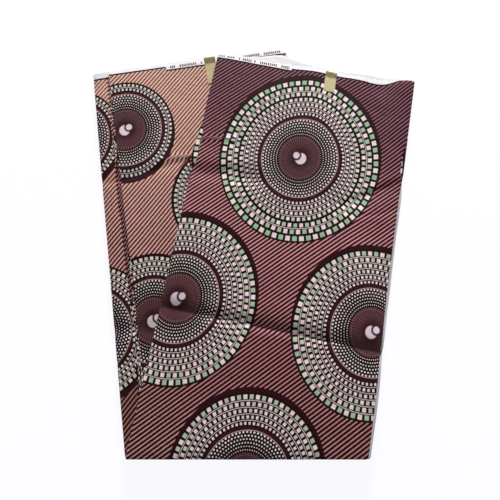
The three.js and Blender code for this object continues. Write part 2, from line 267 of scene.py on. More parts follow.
@dataclass(frozen=True)
class Bundle:
    """How one folded length lies: its corner, its foot and the form of its upper side.

    foot_x is where its left side meets the foot line and side is that side's length. lean
    turns its sides and tilt its selvedge end, in degrees. tape_at is the middle of its tape
    and tape_hang how far down the top leaf the tape starts. seed starts its random draws and
    base is the bundle it lies across. swing is how far its right side, its far corner and its
    left side run out beyond the solid's.
    """

    name: str
    foot_x: float
    side: float
    lean: float
    tilt: float
    tape_at: float
    tape_hang: float
    creases: tuple[Crease, ...]
    seed: int
    swing: tuple[float, float, float] = (0.0, 0.0, 1.8)
    base: "Bundle | None" = None

    def across(self) -> tuple[float, float]:
        """Direction in which a grows."""
        return math.cos(math.radians(self.tilt)), math.sin(math.radians(self.tilt))

    def down(self) -> tuple[float, float]:
        """Direction in which b grows."""
        return math.sin(math.radians(self.lean)), -math.cos(math.radians(self.lean))

    def place(self, a: Array, b: Array) -> tuple[Array, Array]:
        """Where (a, b) lies in the frame of the whole part.

        Args:
            a: Places across the cloth.
            b: Places down the cloth.

        Returns:
            x and y, in mm.
        """
        across = self.across()
        down = self.down()
        corner_x = self.foot_x - self.side * down[0]
        corner_y = FOOT_Y - self.side * down[1]
        high = np.clip(1.0 - b / self.side, 0.0, 1.0)
        rise = sum(share * ease(a, start, end) for share, start, end in CORNER_SWING)
        a = a + self.swing[0] * ease(a, SIDE_SWING_START, WIDTH) * high
        a = a - self.swing[2] * (1.0 - ease(a, 0.0, NEAR_SWING_END))
        b = b - self.swing[1] * rise * ease(high, CORNER_SWING_START, 1.0)
        return (
            corner_x + a * across[0] + b * down[0],
            corner_y + a * across[1] + b * down[1],
        )

    def foot_at(self, a: Array) -> Array:
        """How far down the foot line runs at a."""
        rise = math.sin(math.radians(self.tilt)) / math.cos(math.radians(self.lean))
        return self.side + rise * a

    def beyond(self, x: Array, y: Array) -> Array:
        """How far outside this bundle's right side a point of the part lies.

        Args:
            x: Places along the part's x, in mm.
            y: Places along its y, in mm.

        Returns:
            Distances, below 0 inside.
        """
        start_x, start_y = self.place(WIDTH, 0.0)
        down = self.down()
        return down[0] * (y - start_y) - down[1] * (x - start_x)

    def ground(self, a: Array, b: Array) -> Array:
        """Height of what the bundle lies on.

        Args:
            a: Places across the cloth.
            b: Places down the cloth.

        Returns:
            Heights: 0 on the surface, and a ramp where it comes down beside its base.
        """
        if self.base is None:
            return np.zeros(np.broadcast(a, b).shape)
        past = self.base.beyond(*self.place(a, b))
        near_tape = 1.0 - np.hypot(a, b - TAPE_DOWN) / TAPE_REACH
        over_tape = TAPE_LIFT * ease(near_tape, 0.0, 1.0)
        return (BUNDLE + REST + over_tape) * (1.0 - ease(past, BRIDGE, BRIDGE + RAMP))

    def from_edge(self, a: Array, b: Array) -> Array:
        """How far in from its sides and its foot a place lies."""
        return np.clip(np.minimum(np.minimum(a, WIDTH - a), self.foot_at(a) - b), 0, WIDTH)

    def ripple(self, a: Array, b: Array) -> Array:
        """Slow unevenness of cloth that was pressed by hand.

        Args:
            a: Places across the cloth.
            b: Places down the cloth.

        Returns:
            Heights of a few tenths of a millimetre either way.
        """
        chance = np.random.default_rng(self.seed)
        height = np.zeros(np.broadcast(a, b).shape)
        for wave in RIPPLE_WAVES:
            turn = chance.uniform(0.0, math.pi)
            phase = chance.uniform(0.0, 2 * math.pi, 2)
            along = (a * math.cos(turn) + b * math.sin(turn)) * 2 * math.pi / wave
            long_wave = RIPPLE_LENGTHENING * wave
            aside = (b * math.cos(turn) - a * math.sin(turn)) * 2 * math.pi / long_wave
            swell = wave * RIPPLE_STEEPNESS * np.sin(along + phase[0])
            height = height + swell * np.sin(aside + phase[1])
        return height * ease(self.from_edge(a, b), 1.0, 24.0)

    def relief(self, a: Array, b: Array) -> Array:
        """Creases, soft shoulders along the sides and the foot, and ripples.

        Args:
            a: Places across the cloth.
            b: Places down the cloth.

        Returns:
            Heights to add to a flat bundle.
        """
        height = self.ripple(a, b)
        for crease in self.creases:
            height = height + crease.height(a, b)
        near = np.exp(-(self.from_edge(a, b) / SHOULDER_REACH) ** 2)
        return height - SHOULDER_DROP * near

    def level(self, number: int, a: Array, b: Array) -> Array:
        """Underside of a leaf: level 0 is the second leaf and level 1 the top one."""
        return self.ground(a, b) + STACK + SEAM + number * LEVEL + self.relief(a, b)

    def stack_top(self, a: Array, b: Array) -> Array:
        """Height of the hidden leaves, lower where a second leaf or selvedge lies on them.

        Args:
            a: Places across the cloth.
            b: Places down the cloth.

        Returns:
            Heights above what the bundle lies on.
        """
        share = np.clip((b - STEP_START) / STEP_RUN, 0.0, 1.0)
        if self.base is None:
            share = share * np.clip((a - SECOND_SHOWS) / SIDE_STEP_RUN, 0.0, 1.0)
        return STACK + LEVEL * share

    def selvedge_end(self, a: Array) -> Array:
        """Where the top leaf's selvedge ends."""
        return 1.5 + 0.0 * a if self.base is None else 0.8 + 3.0 * a / WIDTH

    def print_start(self, a: Array) -> Array:
        """Where the printed part of the top leaf begins as a piece of its own.

        Args:
            a: Places across the cloth.

        Returns:
            Places down the cloth.
        """
        plain = self.selvedge_end(a) + MARGIN
        if self.base is None:
            return plain
        wave = 4.5 * np.exp(-((a - 253.0) / 20.0) ** 2)
        return plain - 1.5 + wave - 4.2 * ease(a, 268.0, WIDTH)

    def print_line(self, a: Array) -> Array:
        """Where the bare margin of the top leaf gives way to the print.

        Args:
            a: Places across the cloth.

        Returns:
            Places down the cloth.
        """
        if self.base is None:
            return 8.0 + 0.0 * a
        wave = 3.0 * np.exp(-((a - 242.0) / 18.0) ** 2)
        return 1.3 + 0.05 * np.minimum(a, 120.0) + wave - 8.3 * ease(a, 256.0, 296.0)

    def tuck(self, a: Array, b: Array) -> tuple[Array, Array]:
        """Place on the print of a place on the bundle, pulled in at the creases.

        Args:
            a: Places across the cloth.
            b: Places down the cloth.

        Returns:
            Places across and down the print.
        """
        print_a = a + 0.0 * b
        print_b = b + 0.0 * a
        for crease in self.creases:
            if crease.pinch:
                shift_a, shift_b = crease.tuck(a, b)
                print_a = print_a + shift_a
                print_b = print_b + shift_b
        return print_a, print_b


LEFT = Bundle("left", -160.0, 563.0, 8.6, 9.3, 180.0, 48.0, LEFT_CREASES, 11)
RIGHT = Bundle("right", -159.0, 590.0, -10.4, -9.0, 176.3, 38.0, RIGHT_CREASES, 23,
               (5.4, 13.0, 0.0), LEFT)


def folds_side(b: Array) -> Array:
    """Outer side of the band of folds beside the left top leaf."""
    return 20.5 + 3.5 * ease(b, 190.0, 370.0) - 1.5 * ease(b, 430.0, 560.0)


def left_leaf_side(b: Array) -> Array:
    """Left side of the left top leaf."""
    return folds_side(b) + 3.6 + 3.0 * ease(b, 20.0, 200.0)


def right_leaf_near_side(b: Array) -> Array:
    """Left side of the right top leaf, which draws in where a hidden leaf peeps out."""
    return 0.3 + 4.0 * ease(b, 112.0, 130.0) * (1.0 - ease(b, 168.0, 192.0))


def peep_side(b: Array) -> Array:
    """Left side of the hidden leaf that peeps out beside the right top leaf."""
    drawn_out = 6.5 * ease(b, 108.0, 124.0) + 4.0 * ease(b, 124.0, 184.0)
    return 5.0 - drawn_out + 9.0 * ease(b, 184.0, 196.0)


def right_leaf_side(b: Array) -> Array:
    """Right side of the right top leaf, which leaves a sliver of the leaves under it."""
    drawn_in = 4.8 * ease(b, 94.0, 134.0) * (1.0 - ease(b, 150.0, 170.0))
    return WIDTH - 0.4 - drawn_in - 2.0 * ease(b, 140.0, 210.0)


def steady(value: float) -> Line:
    """A straight side at one value."""
    return lambda along: value + 0.0 * along


@dataclass(frozen=True)
class Sides:
    """Four edges of a sheet: left and right as a over b, top and low as b over a."""

    left: Line
    right: Line
    top: Line
    low: Line
    free_top: bool = True
    free_low: bool = True


class Socket:
    """A node's socket that can stand in an arithmetic expression."""

    def __init__(self, bench: "Bench", source: bpy.types.NodeSocket) -> None:
        """Keeps the socket and the bench that adds its nodes."""
        self.bench = bench
        self.source = source

    def __add__(self, other: "Socket | float") -> "Socket":
        """Sum."""
        return self.bench.math("ADD", self, other)

    def __radd__(self, other: float) -> "Socket":
        """Sum, from the right."""
        return self.bench.math("ADD", other, self)

    def __sub__(self, other: "Socket | float") -> "Socket":
        """Difference."""
        return self.bench.math("SUBTRACT", self, other)

    def __rsub__(self, other: float) -> "Socket":
        """Difference, from the right."""
        return self.bench.math("SUBTRACT", other, self)

    def __mul__(self, other: "Socket | float") -> "Socket":
        """Product."""
        return self.bench.math("MULTIPLY", self, other)

    def __rmul__(self, other: float) -> "Socket":
        """Product, from the right."""
        return self.bench.math("MULTIPLY", other, self)

    def __truediv__(self, other: "Socket | float") -> "Socket":
        """Quotient."""
        return self.bench.math("DIVIDE", self, other)

    def __rtruediv__(self, other: float) -> "Socket":
        """Quotient, from the right."""
        return self.bench.math("DIVIDE", other, self)

    def __mod__(self, other: float) -> "Socket":
        """Rest of a division, never below 0."""
        return self.bench.math("FLOORED_MODULO", self, other)

    def __lt__(self, other: "Socket | float") -> "Socket":
        """1 where this is less, and else 0."""
        return self.bench.math("LESS_THAN", self, other)

    def __gt__(self, other: "Socket | float") -> "Socket":
        """1 where this is greater, and else 0."""
        return self.bench.math("GREATER_THAN", self, other)

    def __abs__(self) -> "Socket":
        """Size without its sign."""
        return self.bench.math("ABSOLUTE", self)

    def floor(self) -> "Socket":
        """Whole part, rounded down."""
        return self.bench.math("FLOOR", self)

    def sine(self) -> "Socket":
        """Sine of an angle in radians."""
        return self.bench.math("SINE", self)


class Bench:
    """Adds the nodes of one material."""

    def __init__(self, name: str) -> None:
        """Starts an empty material.

        Args:
            name: The material's name.
        """
        self.material = bpy.data.materials.new(name)
        self.material.use_nodes = True
        self.tree = self.material.node_tree
        self.tree.nodes.clear()

    def node(self, kind: str, settings: dict[str, Any] | None = None,
             sockets: dict[Any, Any] | None = None) -> bpy.types.Node:
        """Adds one node.

        Args:
            kind: Blender's name of the node's type.
            settings: Properties of the node, which are set first.
            sockets: Values or links of its inputs, by name or index.

        Returns:
            The node.
        """
        made = self.tree.nodes.new(kind)
        for name, value in (settings or {}).items():
            setattr(made, name, value)
        for name, value in (sockets or {}).items():
            if isinstance(value, Socket):
                self.tree.links.new(value.source, made.inputs[name])
            else:
                made.inputs[name].default_value = value
        return made

    def out(self, made: bpy.types.Node, output: int | str = 0) -> Socket:
        """One output of a node, ready for expressions."""
        return Socket(self, made.outputs[output])

    def math(self, operation: str, first: Socket | float, second: Socket | float = 0.0) -> Socket:
        """A Math node.

        Args:
            operation: Blender's name of the operation.
            first: First value.
            second: Second value, where the operation has one.

        Returns:
            Its result.
        """
        made = self.node("ShaderNodeMath", {"operation": operation}, {0: first, 1: second})
        return self.out(made)

    def vector(self, operation: str, first: Any, second: Any = (0.0, 0.0, 0.0)) -> Socket:
        """A Vector Math node.

        Args:
            operation: Blender's name of the operation.
            first: First vector.
            second: Second vector, where the operation has one.

        Returns:
            Its result, a number for a length and else a vector.
        """
        made = self.node("ShaderNodeVectorMath", {"operation": operation}, {0: first, 1: second})
        return self.out(made, "Value" if operation == "LENGTH" else "Vector")

    def blend(self, first: Any, second: Any, share: Socket | float,
              way: str = "MIX") -> Socket:
        """A Mix node for colours.

        Args:
            first: Colour at share 0.
            second: Colour at share 1.
            share: How much of the second.
            way: Blender's name of the way of mixing.

        Returns:
            The mixed colour.
        """
        made = self.node(
            "ShaderNodeMix", {"data_type": "RGBA", "blend_type": way},
            {0: share, 6: first, 7: second},
        )
        return self.out(made, 2)

    def choose(self, first: Any, second: Any, share: Socket) -> Socket:
        """A Mix node for vectors, second where share is 1."""
        made = self.node("ShaderNodeMix", {"data_type": "VECTOR"}, {0: share, 4: first, 5: second})
        return self.out(made, 1)

    def rise(self, value: Socket, low: float | Socket, high: float | Socket) -> Socket:
        """Smooth step from 0 at low to 1 at high.

        Args:
            value: What it is taken of.
            low: Start of the step.
            high: End of the step.

        Returns:
            A share from 0 to 1.
        """
        made = self.node(
            "ShaderNodeMapRange", {"interpolation_type": "SMOOTHSTEP"},
            {0: value, 1: low, 2: high, 3: 0.0, 4: 1.0},
        )
        return self.out(made)

    def within(self, value: Socket, half: float | Socket, soft: float) -> Socket:
        """1 within half of 0 either way, with a soft edge.

        Args:
            value: Signed distance.
            half: Half the width of the band.
            soft: Width of its soft edge.

        Returns:
            A mask.
        """
        return 1.0 - self.rise(abs(value), half - soft / 2, half + soft / 2)

    def parts(self, place: Socket) -> list[Socket]:
        """The three numbers of a vector."""
        split = self.node("ShaderNodeSeparateXYZ", {}, {0: place})
        return [self.out(split, axis) for axis in range(3)]

    def cloth(self) -> Socket:
        """Place on the cloth, as stored with each mesh by make_piece."""
        stored = self.node("ShaderNodeAttribute", {"attribute_name": "cloth"})
        return self.out(stored, "Vector")

    def noise(self, place: Socket, scale: float, detail: float = 2.0) -> bpy.types.Node:
        """A Noise Texture node.

        Args:
            place: Where it is taken, in mm on the cloth.
            scale: Its scale.
            detail: How many finer rounds it has.

        Returns:
            The node.
        """
        return self.node(
            "ShaderNodeTexNoise", {"noise_dimensions": "3D"},
            {"Vector": place, "Scale": scale, "Detail": detail},
        )

    def finish(self, colour: Any, roughness: Any, height: Socket | None, lift: float,
               fixed: dict[str, Any]) -> bpy.types.Material:
        """Ends the material in a Principled shader.

        Args:
            colour: Base colour.
            roughness: Roughness.
            height: Height for the bump, or None for a smooth surface.
            lift: What a height of 1 stands for, in metres.
            fixed: Other sockets of the shader, mostly constants.

        Returns:
            The material.
        """
        sockets = {"Base Color": colour, "Roughness": roughness, **fixed}
        if height is not None:
            bump = self.node("ShaderNodeBump", {}, {"Distance": lift, "Height": height})
            sockets["Normal"] = self.out(bump)
        shader = self.node("ShaderNodeBsdfPrincipled", {}, sockets)
        self.node("ShaderNodeOutputMaterial", {}, {"Surface": self.out(shader)})
        return self.material


class Eye(Enum):
    """Side of a printed disc's middle on which its round dot stands."""

    LEFT = -1
    RIGHT = 1


class Shade(Enum):
    """Which end of a printed disc has a dark crescent, and how far it stands out in mm."""

    SELVEDGE = 4.4
    FOOT = -5.0
    FAINT = 1.0
    NONE = 0.0


# The chart of one printed disc: radii in mm, and squares in rows that grow outwards
ROW_START = 59.0
ROW_GROWTH = 125.0
ROW_GAIN = 19.3
DOT_START = 31.6
DOT_PITCH = 3.85
DOT_END = 55.0
CORE_END = 31.0
CORE_RING = 28.2
DOT_RING = 54.8
MAROON_RING = 55.2
RIM_ROOM = 9.0
FAR_AWAY = 2000.0

# The eye of a disc: middle and radius of its dot and of the round that makes its crescent
EYE_DOT = (5.2, 2.8, 4.5)
EYE_MOON = (-1.6, -1.0, 7.9)
EYE_GAP = (6.2, 8.4)

# Squares and dots: what they start from, and what each row outwards adds
SQUARE_WIDE = (0.25, 0.014)
SQUARE_LONG = (0.235, 0.018)
GREENNESS = (0.3, 0.11)
DOT_RADIUS = (0.66, 0.11)
DOT_STRENGTH = (0.85, 0.03)

# Edges of the squares, and the thin line between two rows as shares of a row
SQUARE_SOFT = 0.09
THIN_LINE = (0.41, 0.455)
MANY_ROWS = 6.5
FIRST_LEFT_OUT = 3.5

# Streaks of the core, for each square round the disc
STREAKS = 0.75
STREAK_FADE = (8.0, 22.0)
STREAK_STRENGTH = 0.29

# Diagonal stripes, and the line, the dashes and the thin rule of the selvedge, in mm
STRIPE_PITCH = 4.8
STRIPE_DRIFT = 0.12
LINE_AT = 1.2
LINE_HALF = 1.4
DASH_PITCH = 3.0
DASH_AT = 3.7
DASH_HALF = 2.3
RULE_AT = 6.3
RULE_HALF = 0.3
BLOCK_ROOM = 4.0

# Dashes in one group, how many of them show, and the share that is left out by chance
DASH_GROUP = 11.0
DASHES_SHOWN = 8.5
DASHES_MISSING = 0.12

# Threads of the weave, in radians for each mm, and the two shades that mottle the print
WEAVE = 13.0
WORN = srgb(222, 222, 222)
FRESH = srgb(255, 255, 255)

# Dyes of the discs
GAP_DYE = srgb(26, 9, 12)
THIN_LINE_DYE = srgb(216, 188, 192)
DARK_DYE = srgb(28, 10, 13)
MAROON_DYE = srgb(60, 20, 25)
HEART_DYE = srgb(54, 20, 27)
STREAK_DYE = srgb(166, 122, 124)
CORE_RING_DYE = srgb(160, 120, 122)
DOT_RING_DYE = srgb(214, 180, 184)
DOT_DYE = srgb(240, 226, 222)
EYE_DYE = srgb(228, 208, 216)
SHADE_DYE = srgb(48, 14, 20)
RIM_DYE = srgb(32, 12, 15)

# Colours of the selvedges
BARE = srgb(240, 237, 239)
# Grey copy of the bare white cotton for the hidden leaves' folded edges, as painted shade
SHADED_HIDDEN_BARE = srgb(186, 180, 183)
LINE_DYE = srgb(38, 12, 16)
DASH_DYE = srgb(58, 40, 46)
RULE_DYE = srgb(150, 140, 146)


def by_row(index: Socket, start: float, gain: float) -> Socket:
    """A value that grows by gain from each row to the next."""
    return index * gain + start


@dataclass(frozen=True)
class Disc:
    """A printed disc: its middle, how many rows of squares it has and how it is turned.

    stretch is how much longer it is down the cloth than across, and size its share of the
    largest disc's scale.
    """

    a: float
    b: float
    rows: int
    stretch: float
    size: float
    eye: Eye
    shade: Shade

    def outer(self) -> float:
        """Radius of its outermost row on the chart."""
        return ROW_START + ROW_GROWTH * (math.exp(self.rows / ROW_GAIN) - 1.0)

    def to_chart(self) -> tuple[float, float, float]:
        """Factors that turn a place on the cloth into one on the chart."""
        return (1.0 / self.size, -1.0 / (self.size * self.stretch), 0.0)


@dataclass(frozen=True)
class Tone:
    """Colours of the stripes at one distance down the cloth, with painted light and shade in them.
    """

    at: float
    light: Colour
    dark: Colour


@dataclass(frozen=True)
class WaxPrint:
    """Wax printed cotton: discs of small squares on fine diagonal stripes, bare selvedges.

    light_share is the light stripes' share of the ground at the selvedge end and further down,
    and squares_round how many squares go round a disc. block is the stretch across that holds
    dashes, and block_depth how much deeper its bare margin is.
    """

    name: str
    discs: tuple[Disc, ...]
    tones: tuple[Tone, ...]
    light_share: tuple[float, float]
    squares_round: int
    pale: Colour
    green: Colour
    block: tuple[float, float]
    block_depth: float
    bare: Colour = BARE

    def chart(self, bench: Bench, place: Socket) -> dict[str, Socket]:
        """Finds the disc that a place lies in.

        Args:
            bench: Where nodes are added.
            place: Place on the cloth.

        Returns:
            The place on that disc's chart, and the disc's own values.
        """
        found = {"outer": 0.0, "rows": 0.0, "eye": 0.0, "shade": 0.0}
        local = bench.vector("ADD", place, (FAR_AWAY, FAR_AWAY, 0.0))
        for disc in self.discs:
            offset = bench.vector("SUBTRACT", place, (disc.a, disc.b, 0.0))
            offset = bench.vector("MULTIPLY", offset, disc.to_chart())
            inside = bench.vector("LENGTH", offset) < disc.outer() + RIM_ROOM
            local = bench.choose(local, offset, inside)
            values = {"outer": disc.outer(), "rows": float(disc.rows),
                      "eye": float(disc.eye.value), "shade": float(disc.shade.value)}
            for key, value in values.items():
                found[key] = found[key] * (1.0 - inside) + inside * value
        return {"local": local, **found}

    def stripes(self, bench: Bench, a: Socket, b: Socket) -> Socket:
        """Colour of the diagonal stripes.

        Args:
            bench: Where nodes are added.
            a: Place across the cloth.
            b: Place down the cloth.

        Returns:
            The colour.
        """
        light, dark = self.tones[0].light, self.tones[0].dark
        # Blending the tones down the cloth paints in light and shade that change along it
        for before, tone in zip(self.tones, self.tones[1:]):
            share = bench.rise(b - a * STRIPE_DRIFT, before.at, tone.at)
            light = bench.blend(light, tone.light, share)
            dark = bench.blend(dark, tone.dark, share)
        turn = (a + b) * (1.0 / (math.sqrt(2.0) * STRIPE_PITCH))
        low, high = self.light_share
        half = bench.rise(b, 60.0, 330.0) * ((high - low) / 2) + low / 2
        line = bench.within(turn % 1.0 - 0.5, half, 0.14)
        return bench.blend(dark, light, line)

    def squares(self, bench: Bench, base: Socket, chart: dict[str, Socket], radius: Socket,
                turn: Socket) -> Socket:
        """Rows of squares round a disc, with thin lines between them.

        Args:
            bench: Where nodes are added.
            base: Colour under them.
            chart: The disc's values.
            radius: Distance from its middle.
            turn: Angle round it, counted in squares.

        Returns:
            The colour with them on it.
        """
        growth = bench.math("MAXIMUM", 1.0 + (radius - ROW_START) / ROW_GROWTH, 0.01)
        row = bench.math("LOGARITHM", growth, math.e) * ROW_GAIN
        index = row.floor()
        in_row = row - index - 0.5
        shifted = turn + (index % 2.0) * 0.5
        cell = shifted.floor()
        across = bench.within(shifted - cell - 0.5, by_row(index, *SQUARE_WIDE), SQUARE_SOFT)
        along = bench.within(in_row, by_row(index, *SQUARE_LONG), SQUARE_SOFT)
        zone = (radius > ROW_START) * (radius < chart["outer"])
        greenness = (cell % 2.0) * by_row(index, *GREENNESS)
        tone = bench.blend(self.pale, self.green, greenness)
        gaps = bench.blend(base, GAP_DYE, zone)
        whole = (row + 0.5).floor()
        even = 1.0 - whole % 2.0
        skipped = (chart["rows"] > MANY_ROWS) * even * (whole > FIRST_LEFT_OUT)
        line = bench.rise(abs(in_row), *THIN_LINE) * (1.0 - skipped)
        line = line * (row > 0.5) * (row < chart["rows"] - 0.5)
        lined = bench.blend(gaps, THIN_LINE_DYE, zone * line * 0.95)
        return bench.blend(lined, tone, zone * across * along)

    def middle(self, bench: Bench, base: Socket, chart: dict[str, Socket], radius: Socket,
               turn: Socket) -> Socket:
        """The inside of a disc: dots in staggered rows, rings, streaks and its pale eye.

        Args:
            bench: Where nodes are added.
            base: Colour under it.
            chart: The disc's values.
            radius: Distance from its middle.
            turn: Angle round it, counted in squares.

        Returns:
            The colour with it on.
        """
        inside = radius < ROW_START
        maroon = bench.rise(radius, MAROON_RING, MAROON_RING + 0.8)
        dyed = bench.blend(DARK_DYE, MAROON_DYE, maroon)
        core = radius < CORE_END
        streak = (turn * (2 * math.pi * STREAKS)).sine() * 0.5 + 0.5
        streak = streak * bench.rise(radius, *STREAK_FADE) * STREAK_STRENGTH
        heart = bench.blend(HEART_DYE, STREAK_DYE, streak)
        dyed = bench.blend(dyed, heart, core)
        core_ring = bench.within(radius - CORE_RING, 0.5, 0.5)
        dyed = bench.blend(dyed, CORE_RING_DYE, core_ring * 0.25)
        dot_ring = bench.within(radius - DOT_RING, 0.42, 0.4)
        dyed = bench.blend(dyed, DOT_RING_DYE, dot_ring * 0.8)
        step = (radius - DOT_START) / DOT_PITCH
        index = step.floor()
        shifted = turn + (index % 2.0) * 0.5
        square_angle = 2 * math.pi / self.squares_round
        round_place = (shifted - shifted.floor() - 0.5) * radius * square_angle
        out_place = (step - index - 0.5) * DOT_PITCH
        apart = self.distance(bench, round_place, out_place)
        dot = bench.within(apart, by_row(index, *DOT_RADIUS), 0.45)
        dotted = (radius > DOT_START) * (radius < DOT_END - 0.8)
        dyed = bench.blend(dyed, DOT_DYE, dot * dotted * by_row(index, *DOT_STRENGTH))
        dyed = bench.blend(dyed, EYE_DYE, self.eye_mask(bench, chart))
        return bench.blend(base, dyed, inside)

    def distance(self, bench: Bench, first: Socket, second: Socket) -> Socket:
        """Length of a flat vector of two numbers."""
        made = bench.node("ShaderNodeCombineXYZ", {}, {0: first, 1: second})
        return bench.vector("LENGTH", bench.out(made))

    def eye_mask(self, bench: Bench, chart: dict[str, Socket]) -> Socket:
        """The pale eye: a dot, and a crescent that opens towards it.

        Args:
            bench: Where nodes are added.
            chart: The disc's values.

        Returns:
            A mask.
        """
        x, y, _ = bench.parts(chart["local"])
        x = x * chart["eye"]
        to_dot = self.distance(bench, x - EYE_DOT[0], y - EYE_DOT[1])
        to_moon = self.distance(bench, x - EYE_MOON[0], y - EYE_MOON[1])
        dot = bench.within(to_dot, EYE_DOT[2], 1.8)
        moon = bench.within(to_moon, EYE_MOON[2], 1.8) * bench.rise(to_dot, *EYE_GAP)
        return bench.math("MAXIMUM", dot, moon)

    def margin(self, bench: Bench, printed: Socket, a: Socket, past: Socket) -> Socket:
        """Bare selvedge with a deeper block of plain dashes, and the dark line that ends it.

        Args:
            bench: Where nodes are added.
            printed: Colour of the printed cloth.
            a: Place across the cloth.
            past: Distance past the start of the print.

        Returns:
            The colour with the margin on it.
        """
        middle = (self.block[0] + self.block[1]) / 2
        half = (self.block[1] - self.block[0]) / 2
        in_block = abs(a - middle) < half
        depth = in_block * self.block_depth
        edge = bench.within(past - depth - LINE_AT, LINE_HALF, 0.4)
        colour = bench.blend(printed, LINE_DYE, edge)
        colour = bench.blend(colour, self.bare, past < depth)
        dashes = a * (1.0 / DASH_PITCH)
        cell = dashes.floor()
        chance = bench.out(bench.node("ShaderNodeTexWhiteNoise", {"noise_dimensions": "1D"},
                                      {"W": cell}))
        body = bench.within(dashes % 1.0 - 0.5, 0.32, 0.14)
        high = bench.within(past - depth + DASH_AT, DASH_HALF, 0.5)
        grouped = (chance > DASHES_MISSING) * ((cell % DASH_GROUP) < DASHES_SHOWN)
        shown = grouped * (abs(a - middle) < half - BLOCK_ROOM)
        colour = bench.blend(colour, DASH_DYE, body * high * shown * 0.95)
        rule = bench.within(past + RULE_AT, RULE_HALF, 0.3) * 0.3
        return bench.blend(colour, RULE_DYE, rule)

    def dress(self) -> bpy.types.Material:
        """Makes the material.

        Returns:
            The material.
        """
        bench = Bench(self.name)
        cloth = bench.cloth()
        shake = bench.out(bench.noise(cloth, 0.42, 2.0), "Color")
        shake = bench.vector("SUBTRACT", shake, (0.5, 0.5, 0.5))
        shake = bench.vector("MULTIPLY", shake, (0.9, 0.9, 0.5))
        place = bench.vector("ADD", cloth, shake)
        a, b, past = bench.parts(place)
        chart = self.chart(bench, place)
        radius = bench.vector("LENGTH", chart["local"])
        x, y, _ = bench.parts(chart["local"])
        angle = bench.math("ARCTAN2", y, x)
        turn = angle * (self.squares_round / (2 * math.pi)) + 400.25
        to_shade = self.distance(bench, x, y - chart["shade"])
        colour = self.stripes(bench, a, b)
        crescent = bench.rise(chart["outer"] + 2.6 - to_shade, -0.25, 0.25)
        colour = bench.blend(colour, SHADE_DYE, crescent * (radius < FAR_AWAY / 4))
        colour = bench.blend(colour, RIM_DYE, radius < chart["outer"] + 1.0)
        colour = self.squares(bench, colour, chart, radius, turn)
        colour = self.middle(bench, colour, chart, radius, turn)
        colour = self.margin(bench, colour, a, past)
        broad = bench.out(bench.noise(cloth, 0.02, 3.0))
        fine = bench.out(bench.noise(cloth, 0.9, 3.0))
        mottle = bench.blend(WORN, FRESH, broad * 0.7 + fine * 0.5)
        colour = bench.blend(colour, mottle, 1.0, "MULTIPLY")
        threads = (a * WEAVE).sine() * 0.5 + (b * WEAVE).sine() * 0.5
        crumple = bench.out(bench.noise(cloth, 0.11, 4.0))
        height = threads * 0.05 + crumple + fine * 0.08
        roughness = broad * 0.14 + 0.5
        return bench.finish(colour, roughness, height, 0.0006,
                            {"Specular IOR Level": 0.05, "Sheen Weight": 0.02})


@dataclass(frozen=True)
class ShadedPlainCotton:
    """Unprinted white cotton, painted pale grey as shade."""

    name: str = "shaded_plain_cotton"
    # Greys of white cotton that lies in shade: painted shade
    dull: Colour = srgb(170, 164, 170)
    pale: Colour = srgb(196, 191, 197)

    def dress(self) -> bpy.types.Material:
        """Makes the material.

        Returns:
            The material.
        """
        bench = Bench(self.name)
        cloth = bench.cloth()
        grain = bench.out(bench.noise(cloth, 0.3, 3.0))
        colour = bench.blend(self.dull, self.pale, grain)
        return bench.finish(colour, 0.8, grain, 0.0004, {"Specular IOR Level": 0.1})


@dataclass(frozen=True)
class GoldTape:
    """Clear gold tape, browner where it bends over the edge and pale at its low end."""

    name: str = "gold_tape"
    clear: Colour = srgb(214, 200, 152)
    patch: Colour = srgb(180, 162, 102)
    bent: Colour = srgb(96, 84, 22)
    low: Colour = srgb(212, 204, 148)
    bend_at: float = 8.0
    bend_half: float = 5.6

    def dress(self) -> bpy.types.Material:
        """Makes the material.

        Returns:
            The material.
        """
        bench = Bench(self.name)
        cloth = bench.cloth()
        across, along, _ = bench.parts(cloth)
        patches = bench.out(bench.noise(cloth, 0.22, 3.0))
        bend = bench.within(along - self.bend_at, self.bend_half, 5.0)
        colour = bench.blend(self.clear, self.patch, patches)
        colour = bench.blend(colour, self.bent, bend * (patches * 0.5 + 0.65))
        end = 1.0 - bench.rise(along, -1.0, 2.6)
        colour = bench.blend(colour, self.low, end)
        threads = (across * 5.0).sine() * 0.15
        return bench.finish(colour, patches * 0.2 + 0.25, patches + threads, 0.0005,
                            {"Alpha": 0.86, "Coat Weight": 0.4, "Coat Roughness": 0.2})


@dataclass(frozen=True)
class PaleFloor:
    """Matt surface that the cloth lies on, which glows pale as an overexposed one does."""

    name: str = "pale_floor"
    dull: Colour = srgb(82, 82, 84)
    pale: Colour = srgb(86, 86, 88)
    glow: Colour = srgb(252, 251, 255)
    glow_strength: float = 0.94

    def dress(self) -> bpy.types.Material:
        """Makes the material.

        Returns:
            The material.
        """
        bench = Bench(self.name)
        place = bench.out(bench.node("ShaderNodeTexCoord"), "Object")
        grain = bench.out(bench.noise(place, 30.0, 2.0))
        colour = bench.blend(self.dull, self.pale, grain)
        return bench.finish(colour, 0.9, None, 0.0,
                            {"Specular IOR Level": 0.1, "Emission Strength": self.glow_strength,
                             "Emission Color": self.glow})


